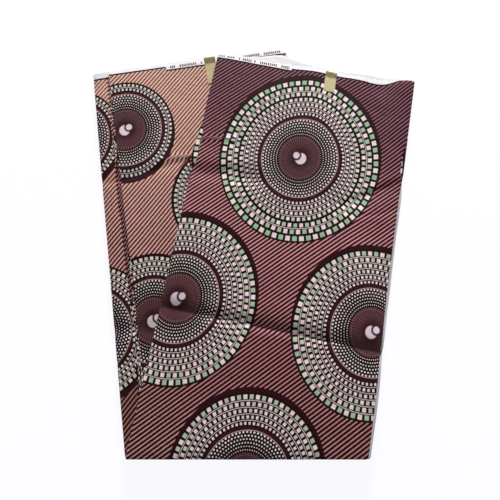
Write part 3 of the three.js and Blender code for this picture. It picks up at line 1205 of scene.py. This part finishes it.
RIGHT_PRINT = WaxPrint(
    name="maroon_wax_print",
    discs=(
        Disc(150.4, 151.6, 7, 1.125, 1.0, Eye.LEFT, Shade.SELVEDGE),
        Disc(21.6, 380.2, 6, 1.107, 1.0, Eye.RIGHT, Shade.SELVEDGE),
        Disc(282.4, 384.0, 6, 1.095, 1.0, Eye.RIGHT, Shade.SELVEDGE),
        Disc(152.0, 591.0, 5, 1.10, 1.0, Eye.RIGHT, Shade.SELVEDGE),
    ),
    # Stripe tones that change down the cloth as painted light and shade
    tones=(
        Tone(40.0, srgb(158, 108, 120), srgb(50, 12, 22)),
        Tone(240.0, srgb(216, 156, 160), srgb(60, 8, 16)),
        Tone(420.0, srgb(190, 130, 132), srgb(40, 4, 8)),
        Tone(600.0, srgb(196, 146, 140), srgb(32, 4, 5)),
    ),
    light_share=(0.32, 0.39),
    squares_round=72,
    pale=srgb(244, 222, 223),
    green=srgb(156, 188, 148),
    block=(-4.0, 116.0),
    block_depth=3.6,
)
LEFT_PRINT = WaxPrint(
    name="salmon_wax_print",
    discs=(
        Disc(40.8, 105.0, 2, 1.12, 0.965, Eye.RIGHT, Shade.FOOT),
        Disc(174.1, 238.0, 4, 1.09, 0.877, Eye.RIGHT, Shade.FAINT),
        Disc(53.1, 395.2, 4, 1.115, 0.93, Eye.RIGHT, Shade.NONE),
    ),
    # Stripe tones that change down the cloth as painted light and shade
    tones=(
        Tone(60.0, srgb(230, 184, 166), srgb(92, 44, 34)),
        Tone(300.0, srgb(216, 166, 158), srgb(70, 24, 22)),
        Tone(520.0, srgb(184, 136, 128), srgb(36, 12, 14)),
    ),
    light_share=(0.58, 0.48),
    squares_round=66,
    pale=srgb(232, 220, 214),
    green=srgb(172, 188, 148),
    block=(111.0, 306.0),
    block_depth=5.8,
)
# The left print with its tones darker towards the foot as painted shade, for the second leaves
SECOND_SHADED_PRINT = WaxPrint(
    name="second_shaded_wax_print",
    discs=(
        Disc(-36.5, 105.4, 2, 1.12, 0.965, Eye.RIGHT, Shade.FOOT),
        Disc(-28.0, 396.3, 4, 1.115, 0.93, Eye.RIGHT, Shade.FOOT),
    ),
    tones=(
        Tone(60.0, srgb(230, 184, 166), srgb(92, 44, 34)),
        Tone(300.0, srgb(214, 162, 152), srgb(66, 22, 20)),
        Tone(520.0, srgb(166, 114, 104), srgb(26, 8, 8)),
    ),
    light_share=(0.58, 0.44),
    squares_round=66,
    pale=LEFT_PRINT.pale,
    green=LEFT_PRINT.green,
    block=(-400.0, -390.0),
    block_depth=0.0,
)
# A darker copy of the second leaves' print, as painted shade on the band of folded edges
SHADED_FOLDS_PRINT = WaxPrint(
    name="shaded_folds_wax_print",
    discs=SECOND_SHADED_PRINT.discs,
    tones=(
        Tone(60.0, srgb(214, 160, 140), srgb(70, 34, 32)),
        Tone(200.0, srgb(170, 122, 120), srgb(46, 16, 20)),
        Tone(520.0, srgb(150, 108, 104), srgb(34, 12, 14)),
    ),
    light_share=(0.42, 0.3),
    squares_round=66,
    pale=LEFT_PRINT.pale,
    green=LEFT_PRINT.green,
    block=SECOND_SHADED_PRINT.block,
    block_depth=0.0,
)
# Copies of the prints whose bare cotton is grey, as painted shade on the hidden leaves' folded
# edges
RIGHT_SHADED_HIDDEN = replace(RIGHT_PRINT, name="maroon_hidden_shaded_print", bare=SHADED_HIDDEN_BARE)
LEFT_SHADED_HIDDEN = replace(LEFT_PRINT, name="salmon_hidden_shaded_print", bare=SHADED_HIDDEN_BARE)


def make_piece(name: str, points: Array, faces: list[Any], cloth: Array,
               material: bpy.types.Material) -> bpy.types.Object:
    """Makes a mesh object and lets it ride on the part's body.

    Args:
        name: The piece's name.
        points: Its points, in mm, one row each.
        faces: Its faces, as indices of points.
        cloth: For each point, a, b and the distance past the start of the print.
        material: Its finish.

    Returns:
        The object.
    """
    mesh = bpy.data.meshes.new(name)
    mesh.from_pydata((points * MM).tolist(), [], faces)
    mesh.update()
    attribute = mesh.attributes.new("cloth", "FLOAT_VECTOR", "POINT")
    attribute.data.foreach_set("vector", cloth.astype(np.float32).ravel())
    mesh.materials.append(material)
    mesh.polygons.foreach_set("use_smooth", [True] * len(mesh.polygons))
    mesh.set_sharp_from_angle(angle=SHARP_ANGLE)
    piece = bpy.data.objects.new(name, mesh)
    bpy.context.scene.collection.objects.link(piece)
    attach(piece, BODY)
    return piece


def declare(piece: bpy.types.Object, slot: str, *nodes: str) -> bpy.types.Object:
    """Hides the solids that a piece stands for, and reports its faces.

    Args:
        piece: The piece.
        slot: Its material slot in the record; not used.
        *nodes: Nodes of the solids that it replaces.

    Returns:
        The same piece.
    """
    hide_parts(*nodes)
    LOG.info("%s: %d faces", piece.name, len(piece.data.polygons))
    return piece


def grid_faces(down: int, across: int, start: int, flip: bool) -> list[list[int]]:
    """Faces between the points of a grid.

    Args:
        down: Rows of points.
        across: Points in a row.
        start: Index of the first point.
        flip: True if the grid is seen from below.

    Returns:
        Four-cornered faces.
    """
    index = start + np.arange(down * across).reshape(down, across)
    corners = [index[:-1, :-1], index[1:, :-1], index[1:, 1:], index[:-1, 1:]]
    if flip:
        corners.reverse()
    return np.stack([corner.ravel() for corner in corners], axis=1).tolist()


def rim_of(grid: Array) -> Array:
    """The outer values of a grid, once round it.

    Args:
        grid: Rows of values.

    Returns:
        Top row, right side, low row and left side, each without its last value.
    """
    return np.concatenate([grid[0, :-1], grid[:-1, -1], grid[-1, :0:-1], grid[:0:-1, 0]])


def loop_faces(upper: Array, lower: Array) -> list[list[int]]:
    """Faces between two closed loops of point indices, the upper one first."""
    corners = [upper, np.roll(upper, -1), np.roll(lower, -1), lower]
    return np.stack(corners, axis=1).tolist()


@dataclass(frozen=True)
class Leaf:
    """A leaf of folded cloth, or a strip of one, as a thin shell with rounded edges.

    level is 0 under a top leaf and 1 on top. starts is where its print begins, as b over a,
    and shift moves its place on the print. replaced names the nodes that it stands for. With
    a thin_end it is about half as thick at its top as at its low side.
    """

    name: str
    bundle: Bundle
    level: int
    sides: Sides
    starts: Line
    finish: WaxPrint | ShadedPlainCotton
    slot: str
    replaced: tuple[str, ...]
    step: float = FINE_STEP
    thin_end: bool = False
    shift: tuple[float, float] = (0.0, 0.0)

    def wall(self, a: Array, b: Array) -> Array:
        """Thickness of the shell above the solid's underside.

        Args:
            a: Places across the cloth.
            b: Places down the cloth.

        Returns:
            Thicknesses, less towards a thin end.
        """
        if not self.thin_end:
            return LEAF + 0.0 * a
        share = (b - self.sides.top(a)) / (self.sides.low(a) - self.sides.top(a))
        return mix(THIN_LEAF, LEAF, ease(share, 0.0, 1.0))

    def lay(self, inset: float, part: float, counts: tuple[int, int]) -> tuple[Array, Array]:
        """Lays the shell's grid at one height of its wall.

        Args:
            inset: How far its free edges are drawn in.
            part: Share of the wall's height.
            counts: Rows and columns of points.

        Returns:
            Points in mm, and their places on the cloth.
        """
        rows = np.linspace(0, 1, counts[0])
        columns = np.linspace(0, 1, counts[1])
        v, u = np.meshgrid(rows, columns, indexing="ij")
        middle = np.full_like(v, float(self.sides.left(0.0) + self.sides.right(0.0)) / 2)
        near = mix(self.sides.top(middle), self.sides.low(middle), v)
        pull = np.zeros_like(v)
        if self.sides.free_top:
            pull[0, [0, -1]] = CORNER_PULL
        if self.sides.free_low:
            pull[-1, [0, -1]] = CORNER_PULL
        left = self.sides.left(near) + inset + pull
        right = self.sides.right(near) - inset - pull
        a = mix(left, right, u)
        top = self.sides.top(a) + (inset + pull) * self.sides.free_top
        low = self.sides.low(a) - (inset + pull) * self.sides.free_low
        b = mix(top, low, v)
        under = self.bundle.level(self.level, a, b)
        height = mix(under - SETTLE, under + self.wall(a, b), part)
        x, y = self.bundle.place(a, b)
        points = np.stack([x, y, height], axis=2)
        print_a, print_b = self.bundle.tuck(a, b)
        cloth = np.stack([print_a + self.shift[0], print_b + self.shift[1],
                          b - self.starts(a)], axis=2)
        return points, cloth

    def build(self) -> bpy.types.Object:
        """Builds the shell.

        Returns:
            The piece.
        """
        span = float(self.sides.right(0.0) - self.sides.left(0.0))
        reach = float(self.sides.low(span / 2) - self.sides.top(span / 2))
        counts = (max(5, round(reach / self.step)) + 1, max(5, round(span / self.step)) + 1)
        arcs = np.radians(np.linspace(90.0, -90.0, EDGE_ARCS))
        points, cloths, faces, loops = [], [], [], []
        start = 0
        for number, arc in enumerate(arcs):
            inset = EDGE_ROUND * (1.0 - math.cos(arc))
            grid, cloth = self.lay(inset, 0.5 + 0.5 * math.sin(arc), counts)
            if number in (0, len(arcs) - 1):
                size = counts[0] * counts[1]
                loops.append(rim_of(start + np.arange(size).reshape(counts)))
                faces += grid_faces(*counts, start, number > 0)
                points.append(grid.reshape(-1, 3))
                cloths.append(cloth.reshape(-1, 3))
            else:
                points.append(np.stack([rim_of(grid[..., k]) for k in range(3)], axis=1))
                cloths.append(np.stack([rim_of(cloth[..., k]) for k in range(3)], axis=1))
                loops.append(start + np.arange(len(points[-1])))
            start += len(points[-1])
        for upper, lower in zip(loops, loops[1:]):
            faces += loop_faces(upper, lower)
        return make_piece(self.name, np.concatenate(points), faces, np.concatenate(cloths),
                          MATERIALS[self.finish.name])

    def dress(self) -> bpy.types.Object:
        """Builds the leaf and hides the solids that it stands for."""
        return declare(self.build(), self.slot, *self.replaced)


@dataclass(frozen=True)
class HiddenLeaves:
    """The leaves under those that show, pressed together, each with its own folded edge.

    spacing is the distance between points round the outline and corner the radius of its
    corners. skins is how many rings fill the upper and the lower face, and sink how far the
    upper face lies below the leaves on it.
    """

    bundle: Bundle
    finish: WaxPrint
    leaves: int = 14
    spacing: float = 4.0
    corner: float = 3.0
    skins: int = 22
    sink: float = 2.6

    def outline(self) -> tuple[Array, Array, Array, Array, Array]:
        """Once round the bundle, with round corners.

        Returns:
            a and b, the inward directions along them, and how much of a selvedge end it is.
        """
        far = WIDTH - self.corner
        near = self.corner
        low_left = float(self.bundle.foot_at(0.0))
        low_right = float(self.bundle.foot_at(WIDTH))
        across = np.linspace(near, far, round(WIDTH / self.spacing))
        turn = np.radians(np.linspace(15.0, 75.0, 5))
        runs = [(across, 0.0 * across, 0.0, 1.0, 1.0)]
        runs.append((far + near * np.sin(turn), near - near * np.cos(turn),
                     -np.sin(turn), np.cos(turn), 0.5))
        down = np.linspace(near, low_right - near, round(low_right / self.spacing))
        runs.append((WIDTH + 0.0 * down, down, -1.0, 0.0, 0.0))
        runs.append((far + near * np.cos(turn), low_right - near + near * np.sin(turn),
                     -np.cos(turn), -np.sin(turn), 0.0))
        back = across[::-1]
        runs.append((back, self.bundle.foot_at(back), 0.0, -1.0, 0.0))
        runs.append((near - near * np.sin(turn), low_left - near + near * np.cos(turn),
                     np.sin(turn), -np.cos(turn), 0.0))
        up = np.linspace(low_left - near, near, round(low_left / self.spacing))
        runs.append((0.0 * up, up, 1.0, 0.0, 0.0))
        runs.append((near - near * np.cos(turn), near - near * np.sin(turn),
                     np.cos(turn), np.sin(turn), 0.5))
        return tuple(
            np.concatenate([run[k] + 0.0 * run[0] for run in runs]) for k in range(5)
        )

    def edges(self, around: Array, end: Array) -> list[tuple[float, Array]]:
        """Profile of the folded edges, from the top of the pile to its bottom.

        Args:
            around: Distance round the outline, in mm.
            end: How much of a selvedge end each place is.

        Returns:
            Rows of share of the height and inset.
        """
        chance = np.random.default_rng(self.bundle.seed + 5)
        thick = chance.uniform(0.85, 1.15, self.leaves)
        tops = np.concatenate([[0.0], np.cumsum(thick)]) / thick.sum()
        steps = np.array([0.0, 0.1, 0.28, 0.5, 0.72, 0.9, 1.0])
        folded = np.array([0.62, 0.3, 0.07, 0.0, 0.07, 0.3, 0.62])
        plies = np.array([0.6, 0.05, 0.08, 0.5, 0.08, 0.05, 0.6])
        rows = []
        for k in reversed(range(self.leaves)):
            stray = chance.uniform(0.0, 0.5) + 0.0 * around
            for wave in (410.0, 173.0, 77.0):
                stray = stray + 0.16 * np.sin(around * 2 * math.pi / wave + chance.uniform(0, 6.3))
            back = chance.uniform(0.0, 2.2) + 0.25 * np.sin(around / 31.0 + chance.uniform(0, 6.3))
            for step, fold, ply in zip(steps[::-1], folded[::-1], plies[::-1]):
                part = mix(tops[k], tops[k + 1], step)
                inset = mix(stray + 0.15 + fold, back + 0.2 + ply, end)
                rows.append((float(part), np.maximum(inset, 0.0)))
        return rows

    def build(self) -> bpy.types.Object:
        """Builds the pile as one closed body.

        Returns:
            The piece.
        """
        a, b, in_a, in_b, end = self.outline()
        steps = np.hypot(np.diff(a, append=a[0]), np.diff(b, append=b[0]))
        around = np.concatenate([[0.0], np.cumsum(steps)[:-1]])
        end = np.convolve(np.concatenate([end[-3:], end, end[:3]]), np.full(7, 1 / 7), "valid")
        rows = self.edges(around, end)
        centre = (WIDTH / 2, float(self.bundle.foot_at(WIDTH / 2)) / 2)
        chance = np.random.default_rng(self.bundle.seed + 9)
        drift = chance.uniform(-40.0, 40.0, (self.leaves, 2))
        points, cloths = [], []

        def ring(ring_a: Array, ring_b: Array, part: float, leaf: int, deep: Array) -> None:
            """Adds one ring of points.

            Args:
                ring_a: Places across the cloth.
                ring_b: Places down the cloth.
                part: Share of the pile's height.
                leaf: Number of the leaf that it is on.
                deep: How far it is sunk.
            """
            base = self.bundle.ground(ring_a, ring_b)
            high = base + self.bundle.stack_top(ring_a, ring_b)
            high = high + self.bundle.relief(ring_a, ring_b) - deep
            x, y = self.bundle.place(ring_a, ring_b)
            points.append(np.stack([x, y, mix(base, high, part)], axis=1))
            cloths.append(np.stack([ring_a + drift[leaf, 0], ring_b + drift[leaf, 1],
                                    ring_b - 9.5 - chance.uniform(0, 1.5)], axis=1))

        shares = 1.0 - np.linspace(0.0, 1.0, self.skins + 1)
        first_a = a + in_a * rows[0][1]
        first_b = b + in_b * rows[0][1]
        for share in shares[::-1][1:-1]:
            ring_a = centre[0] + (first_a - centre[0]) * share
            ring_b = centre[1] + (first_b - centre[1]) * share
            inside = np.minimum(self.bundle.from_edge(ring_a, ring_b), ring_b)
            ring(ring_a, ring_b, 1.0, 0, self.sink * ease(inside, 3.5, 14.0))
        per_leaf = len(rows) // self.leaves
        for number, (part, inset) in enumerate(rows):
            ring(a + in_a * inset, b + in_b * inset, part, number // per_leaf, 0.0 * a)
        last_a = a + in_a * rows[-1][1]
        last_b = b + in_b * rows[-1][1]
        for share in shares[1:-1]:
            ring_a = centre[0] + (last_a - centre[0]) * share
            ring_b = centre[1] + (last_b - centre[1]) * share
            ring(ring_a, ring_b, 0.0, self.leaves - 1, 0.0 * a)
        size = len(a)
        faces = []
        for number in range(len(points) - 1):
            upper = number * size + np.arange(size)
            faces += loop_faces(upper, upper + size)
        faces.append(list(range(size))[::-1])
        faces.append(list(range((len(points) - 1) * size, len(points) * size)))
        return make_piece(f"{self.bundle.name}_hidden_layers_cloth", np.concatenate(points), faces,
                          np.concatenate(cloths), MATERIALS[self.finish.name])

    def dress(self) -> bpy.types.Object:
        """Builds the pile and hides the solid that it stands for."""
        return declare(self.build(), "folded_print", f"{self.bundle.name}_hidden_layers")


@dataclass(frozen=True)
class EdgeFolds:
    """Folded edges of the leaves between the left top leaf and the second one.

    folds is how many there are, thick the height of each, and step the distance between points.
    """

    bundle: Bundle
    finish: WaxPrint
    folds: int = 3
    thick: float = 0.42
    step: float = 2.5

    def build(self) -> bpy.types.Object:
        """Builds the folds, each a long flat strip with a round outer edge.

        Returns:
            The piece.
        """
        low = float(self.bundle.foot_at(22.0)) - 0.5
        b = np.linspace(UNDER_MARGIN - 2.0, low, round(low / self.step))
        profile = np.array([[1.0, 0.0], [0.35, 0.0], [0.12, 0.12], [0.0, 0.5], [0.12, 0.88],
                            [0.35, 1.0], [1.0, 1.0]])
        points, cloths, faces = [], [], []
        start = 0
        chance = np.random.default_rng(self.bundle.seed + 2)
        for fold in range(self.folds):
            room = left_leaf_side(b) - folds_side(b)
            stray = 0.3 * np.sin(b / 17.0 + chance.uniform(0, 6.3))
            stray = stray + 0.25 * np.sin(b / 7.3 + chance.uniform(0, 6.3))
            outer = folds_side(b) + room * fold / self.folds + stray
            inner = left_leaf_side(b) + 0.35
            drift = chance.uniform(-30.0, 30.0, 2)
            for share, part in profile:
                a = outer + (inner - outer) * max(0.0, share * 2 - 1) + share * 0.9
                base = self.bundle.level(0, a, b) + LEAF + 0.02
                height = base + self.thick * (fold + part) - 0.05 * fold
                x, y = self.bundle.place(a, b)
                points.append(np.stack([x, y, height], axis=1))
                cloths.append(np.stack([a + drift[0], b + drift[1], b - 11.0], axis=1))
            faces += grid_faces(len(profile), len(b), start, False)
            size = len(b)
            ends = start + np.arange(len(profile)) * size
            faces += [ends.tolist(), (ends + size - 1)[::-1].tolist()]
            faces += [
                [int(start + k), int(start + k + 1), int(ends[-1] + k + 1), int(ends[-1] + k)]
                for k in range(size - 1)
            ]
            start += len(profile) * size
        return make_piece("left_edge_folds_cloth", np.concatenate(points), faces,
                          np.concatenate(cloths), MATERIALS[self.finish.name])

    def dress(self) -> bpy.types.Object:
        """Builds the folds and hides the solid that they stand for."""
        return declare(self.build(), "folded_print", "left_edge_folds")


@dataclass(frozen=True)
class Tape:
    """Tape that holds the selvedge end: along the top, over the edge and down the end.

    wall is its thickness and lift its height over the cloth. low_end is how high above the
    ground it ends, and across how many columns of points it has.
    """

    bundle: Bundle
    finish: GoldTape
    width: float = 16.8
    wall: float = 0.22
    lift: float = 0.35
    low_end: float = 1.0
    across: int = 11

    def path(self, a: float, hang: float) -> Array:
        """Centreline of one column of the tape.

        Args:
            a: Where it runs, across the cloth.
            hang: How far down the top leaf it starts.

        Returns:
            Rows of b and height.
        """
        def over(b: float) -> float:
            """Height of the cloth under the tape."""
            held = np.array(max(b, 0.0))
            return float(self.bundle.level(1, np.array(a), held)) + LEAF + self.lift

        edge = float(self.bundle.selvedge_end(np.array(a)))
        rows = [(b, over(b)) for b in np.linspace(hang, edge + 1.0, 16)]
        rows += [(edge + 0.2, over(edge) - 0.2), (0.4, over(0.4) - 0.8), (-0.55, over(0.0) - 1.9)]
        low = float(self.bundle.ground(np.array(a), np.array(0.0))) + self.low_end
        rows += [(-0.75, mix(over(0.0) - 1.9, low, 0.5)), (-0.6, low)]
        points = np.array(rows)
        for _ in range(3):
            middle = (points[:-1] * 3 + points[1:]) / 4
            later = (points[:-1] + points[1:] * 3) / 4
            cut = np.stack([middle, later], axis=1).reshape(-1, 2)
            points = np.concatenate([points[:1], cut, points[-1:]])
        return points

    def build(self) -> bpy.types.Object:
        """Builds the strip as a closed thin wall.

        Returns:
            The piece.
        """
        chance = np.random.default_rng(self.bundle.seed + 3)
        shares = np.linspace(-0.5, 0.5, self.across)
        inner, outer, cloth = [], [], []
        for share in shares:
            a = self.bundle.tape_at + share * self.width
            path = self.path(a, self.bundle.tape_hang + chance.uniform(-0.9, 0.9))
            heading = np.gradient(path, axis=0)
            heading /= np.linalg.norm(heading, axis=1, keepdims=True)
            away = np.stack([heading[:, 1], -heading[:, 0]], axis=1)
            away *= np.sign(away[0, 1])
            for rows, off in ((inner, 0.0), (outer, self.wall)):
                moved = path + away * off
                x, y = self.bundle.place(np.full(len(moved), a), moved[:, 0])
                rows.append(np.stack([x, y, moved[:, 1]], axis=1))
            run = np.concatenate([[0.0], np.cumsum(np.hypot(*np.diff(path, axis=0).T))])
            cloth.append(np.stack([share * self.width + 0.0 * run,
                                   self.bundle.tape_hang - run, 0.0 * run], axis=1))
        down = len(inner[0])
        counts = (self.across, down)
        size = self.across * down
        points = np.concatenate([np.concatenate(outer), np.concatenate(inner)])
        faces = grid_faces(*counts, 0, True) + grid_faces(*counts, size, False)
        rim = rim_of(np.arange(size).reshape(counts))
        faces += [face[::-1] for face in loop_faces(rim, rim + size)]
        cloths = np.concatenate(cloth * 2)
        return make_piece(f"{self.bundle.name}_tape_strip", points, faces, cloths,
                          MATERIALS[self.finish.name])

    def dress(self) -> bpy.types.Object:
        """Builds the tape and hides the solid that it stands for."""
        return declare(self.build(), "gold_tape", f"{self.bundle.name}_tape")


@dataclass(frozen=True)
class FoldedLength:
    """One bundle of folded cloth with all that shows of it."""

    bundle: Bundle
    finish: WaxPrint
    hidden: WaxPrint
    slot: str

    def top_sides(self) -> tuple[Line, Line]:
        """Left and right side of the top leaf.

        Returns:
            The sides, as a over b.
        """
        if self.bundle is LEFT:
            return left_leaf_side, steady(WIDTH - 0.5)
        return right_leaf_near_side, right_leaf_side

    def top_leaf(self) -> Leaf:
        """The printed part of the top leaf.

        Returns:
            The leaf, not yet built.
        """
        left, right = self.top_sides()
        sides = Sides(left, right, self.bundle.print_start,
                      lambda a: self.bundle.foot_at(a) - 0.3, free_top=False)
        name = self.bundle.name
        return Leaf(f"{name}_top_leaf_cloth", self.bundle, 1, sides, self.bundle.print_line,
                    self.finish, self.slot, (f"{name}_top_leaf",))

    def top_selvedge(self) -> Leaf:
        """The bare margin of the top leaf.

        Returns:
            The leaf, not yet built.
        """
        left, right = self.top_sides()
        sides = Sides(left, right, self.bundle.selvedge_end, self.bundle.print_start,
                      free_low=False)
        name = self.bundle.name
        return Leaf(f"{name}_top_selvedge_cloth", self.bundle, 1, sides, self.bundle.print_line,
                    self.finish, "bare_cotton", (f"{name}_top_selvedge",), thin_end=True)

    def second_end(self, a: Array) -> Array:
        """Where the second leaf's selvedge ends, fanned out a little on the right bundle.

        Args:
            a: Places across the cloth.

        Returns:
            Places down the cloth.
        """
        if self.bundle is LEFT:
            return 0.0 * a
        fan = 12.0 * np.exp(-((a - 98.0) / 33.0) ** 2)
        return -2.0 - fan - 2.0 * ease(a, 120.0, 200.0) + 5.5 * ease(a, 250.0, 292.0)

    def peeping_leaf(self) -> Leaf:
        """The hidden leaf that shows along the left side, with the edge of a disc on it.

        Returns:
            The leaf, not yet built.
        """
        sides = Sides(peep_side, steady(9.0), steady(104.0), steady(198.0))
        return Leaf("right_peeping_leaf_cloth", self.bundle, 0, sides, steady(0.0), self.finish,
                    "folded_print", ("right_hidden_layers",), shift=(-78.8, 228.0))

    def far_peeping_leaf(self) -> Leaf:
        """The hidden leaf that shows along the right side, also with a disc's edge on it.

        Returns:
            The leaf, not yet built.
        """
        sides = Sides(steady(290.0), lambda b: WIDTH + 0.2 - 1.2 * ease(b, 146.0, 166.0),
                      steady(92.0), steady(167.0))
        return Leaf("right_far_peeping_leaf_cloth", self.bundle, 0, sides, steady(0.0),
                    self.finish, "folded_print", ("right_hidden_layers",), shift=(-35.0, 6.0))

    def bare_edge(self) -> Leaf:
        """The pale edge of a hidden leaf that shows along the right side, its white cotton painted
        grey as shade.

        Returns:
            The leaf, not yet built.
        """
        sides = Sides(steady(292.0), lambda b: WIDTH - 2.6 + 3.8 * ease(b, 118.0, 190.0)
                      + 0.35 * np.sin(b / 23.0), steady(168.0),
                      lambda a: self.bundle.foot_at(a) - 0.6)
        return Leaf("right_bare_edge_cloth", self.bundle, 0, sides, steady(0.0), ShadedPlainCotton(),
                    "bare_cotton", ("right_hidden_layers",))

    def second_selvedge(self) -> Leaf:
        """The bare margin of the leaf under the top one.

        Returns:
            The leaf, not yet built.
        """
        sides = Sides(steady(0.2), steady(WIDTH - 0.2), self.second_end, steady(UNDER_MARGIN))
        name = self.bundle.name
        return Leaf(f"{name}_second_selvedge_cloth", self.bundle, 0, sides,
                    steady(UNDER_MARGIN - 0.2), SECOND_SHADED_PRINT, "bare_cotton",
                    (f"{name}_second_selvedge",))

    def dress(self) -> None:
        """Builds every piece of the bundle."""
        name = self.bundle.name
        hidden = HiddenLeaves(self.bundle, self.hidden).dress()
        second = self.second_selvedge().dress()
        leaf = self.top_leaf().dress()
        selvedge = self.top_selvedge().dress()
        Tape(self.bundle, GoldTape()).dress()
        if self.bundle is LEFT:
            SecondLeaf(self.bundle).dress(hidden.name)
        else:
            strips = ((self.peeping_leaf(), PEEPING_STRIP),
                      (self.far_peeping_leaf(), FAR_PEEPING_STRIP),
                      (self.bare_edge(), BARE_STRIP))
            for strip, flat in strips:
                strip.dress()
        LOG.info("%s bundle is dressed", name)


@dataclass(frozen=True)
class SecondLeaf:
    """The strip of the second leaf that shows along the left bundle, and the folds on it."""

    bundle: Bundle

    def dress(self, below: str) -> None:
        """Builds the strip and the folds.

        Args:
            below: Name of the piece that they rest on; not used.
        """
        sides = Sides(steady(0.2), steady(SECOND_SHOWS - 1.0), steady(UNDER_MARGIN),
                      lambda a: self.bundle.foot_at(a) - 0.5, free_top=False)
        strip = Leaf("left_second_leaf_cloth", self.bundle, 0, sides, steady(UNDER_MARGIN - 0.2),
                     SECOND_SHADED_PRINT, "salmon_print", ("left_second_leaf",)).dress()
        folds = EdgeFolds(self.bundle, SHADED_FOLDS_PRINT).dress()


@dataclass(frozen=True)
class Studio:
    """Pale floor, soft light from the selvedge end, and the photo's camera.

    eye is where the camera stands and target what it and the lamps face, both in metres. lens
    is its focal length and sensor the width of its picture, in mm.
    """

    target: tuple[float, float, float] = (-0.003, -0.030, 0.012)
    eye: tuple[float, float, float] = (-0.003, -0.21756, 0.712)
    lens: float = 37.27
    sensor: float = 36.0
    sky: Colour = srgb(246, 247, 252)
    sky_strength: float = 0.24

    def floor(self) -> None:
        """Lays the floor, which turns up into a backdrop all round."""
        profile = ((4.0, 0.0), (4.4, 0.05), (4.7, 0.2), (4.85, 0.5), (4.9, 1.7))
        turns = 48
        angles = [k * 2 * math.pi / turns for k in range(turns)]
        points = [
            (reach * math.cos(angle), reach * math.sin(angle), height)
            for reach, height in profile for angle in angles
        ]
        faces = [list(range(turns))]
        for row in range(len(profile) - 1):
            inner = row * turns + np.arange(turns)
            faces += loop_faces(inner + turns, inner)
        mesh = bpy.data.meshes.new("floor")
        mesh.from_pydata(points, [], faces)
        mesh.polygons.foreach_set("use_smooth", [True] * len(mesh.polygons))
        mesh.materials.append(PaleFloor().dress())
        floor = bpy.data.objects.new("floor", mesh)
        bpy.context.scene.collection.objects.link(floor)

    def lamp(self, name: str, place: tuple[float, float, float], size: float,
             watts: float) -> None:
        """Hangs a square soft light that faces the cloth.

        Args:
            name: Its name.
            place: Where it hangs, in metres.
            size: Its side, in metres.
            watts: Its power.
        """
        data = bpy.data.lights.new(name, "AREA")
        data.size = size
        data.energy = watts
        lamp = bpy.data.objects.new(name, data)
        lamp.location = place
        lamp.rotation_mode = "QUATERNION"
        lamp.rotation_quaternion = (Vector(self.target) - Vector(place)).to_track_quat("-Z", "Y")
        bpy.context.scene.collection.objects.link(lamp)

    def light(self) -> None:
        """Sets the lights and the pale surroundings."""
        self.lamp("window", (0.3, 2.9, 1.08), 0.6, 160.0)
        self.lamp("fill", (-0.9, -0.4, 1.9), 1.6, 4.0)
        world = bpy.data.worlds.new("studio")
        world.use_nodes = True
        background = world.node_tree.nodes["Background"]
        background.inputs["Color"].default_value = self.sky
        background.inputs["Strength"].default_value = self.sky_strength
        bpy.context.scene.world = world
        bpy.context.scene.view_settings.view_transform = "Standard"

    def camera(self) -> None:
        """Sets the camera above the cloth, at the photo's angle."""
        data = bpy.data.cameras.new("camera")
        data.lens = self.lens
        data.sensor_width = self.sensor
        camera = bpy.data.objects.new("camera", data)
        camera.location = self.eye
        camera.rotation_mode = "QUATERNION"
        camera.rotation_quaternion = (
            Vector(self.target) - Vector(self.eye)).to_track_quat("-Z", "Y")
        bpy.context.scene.collection.objects.link(camera)
        bpy.context.scene.camera = camera


def main() -> None:
    """Builds the studio, then each bundle."""
    logging.basicConfig(level=logging.INFO, format="%(name)s: %(message)s")
    studio = Studio()
    studio.camera()
    studio.light()
    studio.floor()
    for finish in (RIGHT_PRINT, LEFT_PRINT, RIGHT_SHADED_HIDDEN, LEFT_SHADED_HIDDEN, SECOND_SHADED_PRINT,
                   SHADED_FOLDS_PRINT, ShadedPlainCotton(), GoldTape()):
        MATERIALS[finish.name] = finish.dress()
    FoldedLength(LEFT, LEFT_PRINT, LEFT_SHADED_HIDDEN, "salmon_print").dress()
    FoldedLength(RIGHT, RIGHT_PRINT, RIGHT_SHADED_HIDDEN, "maroon_print").dress()


if __name__ == "__main__":
    main()
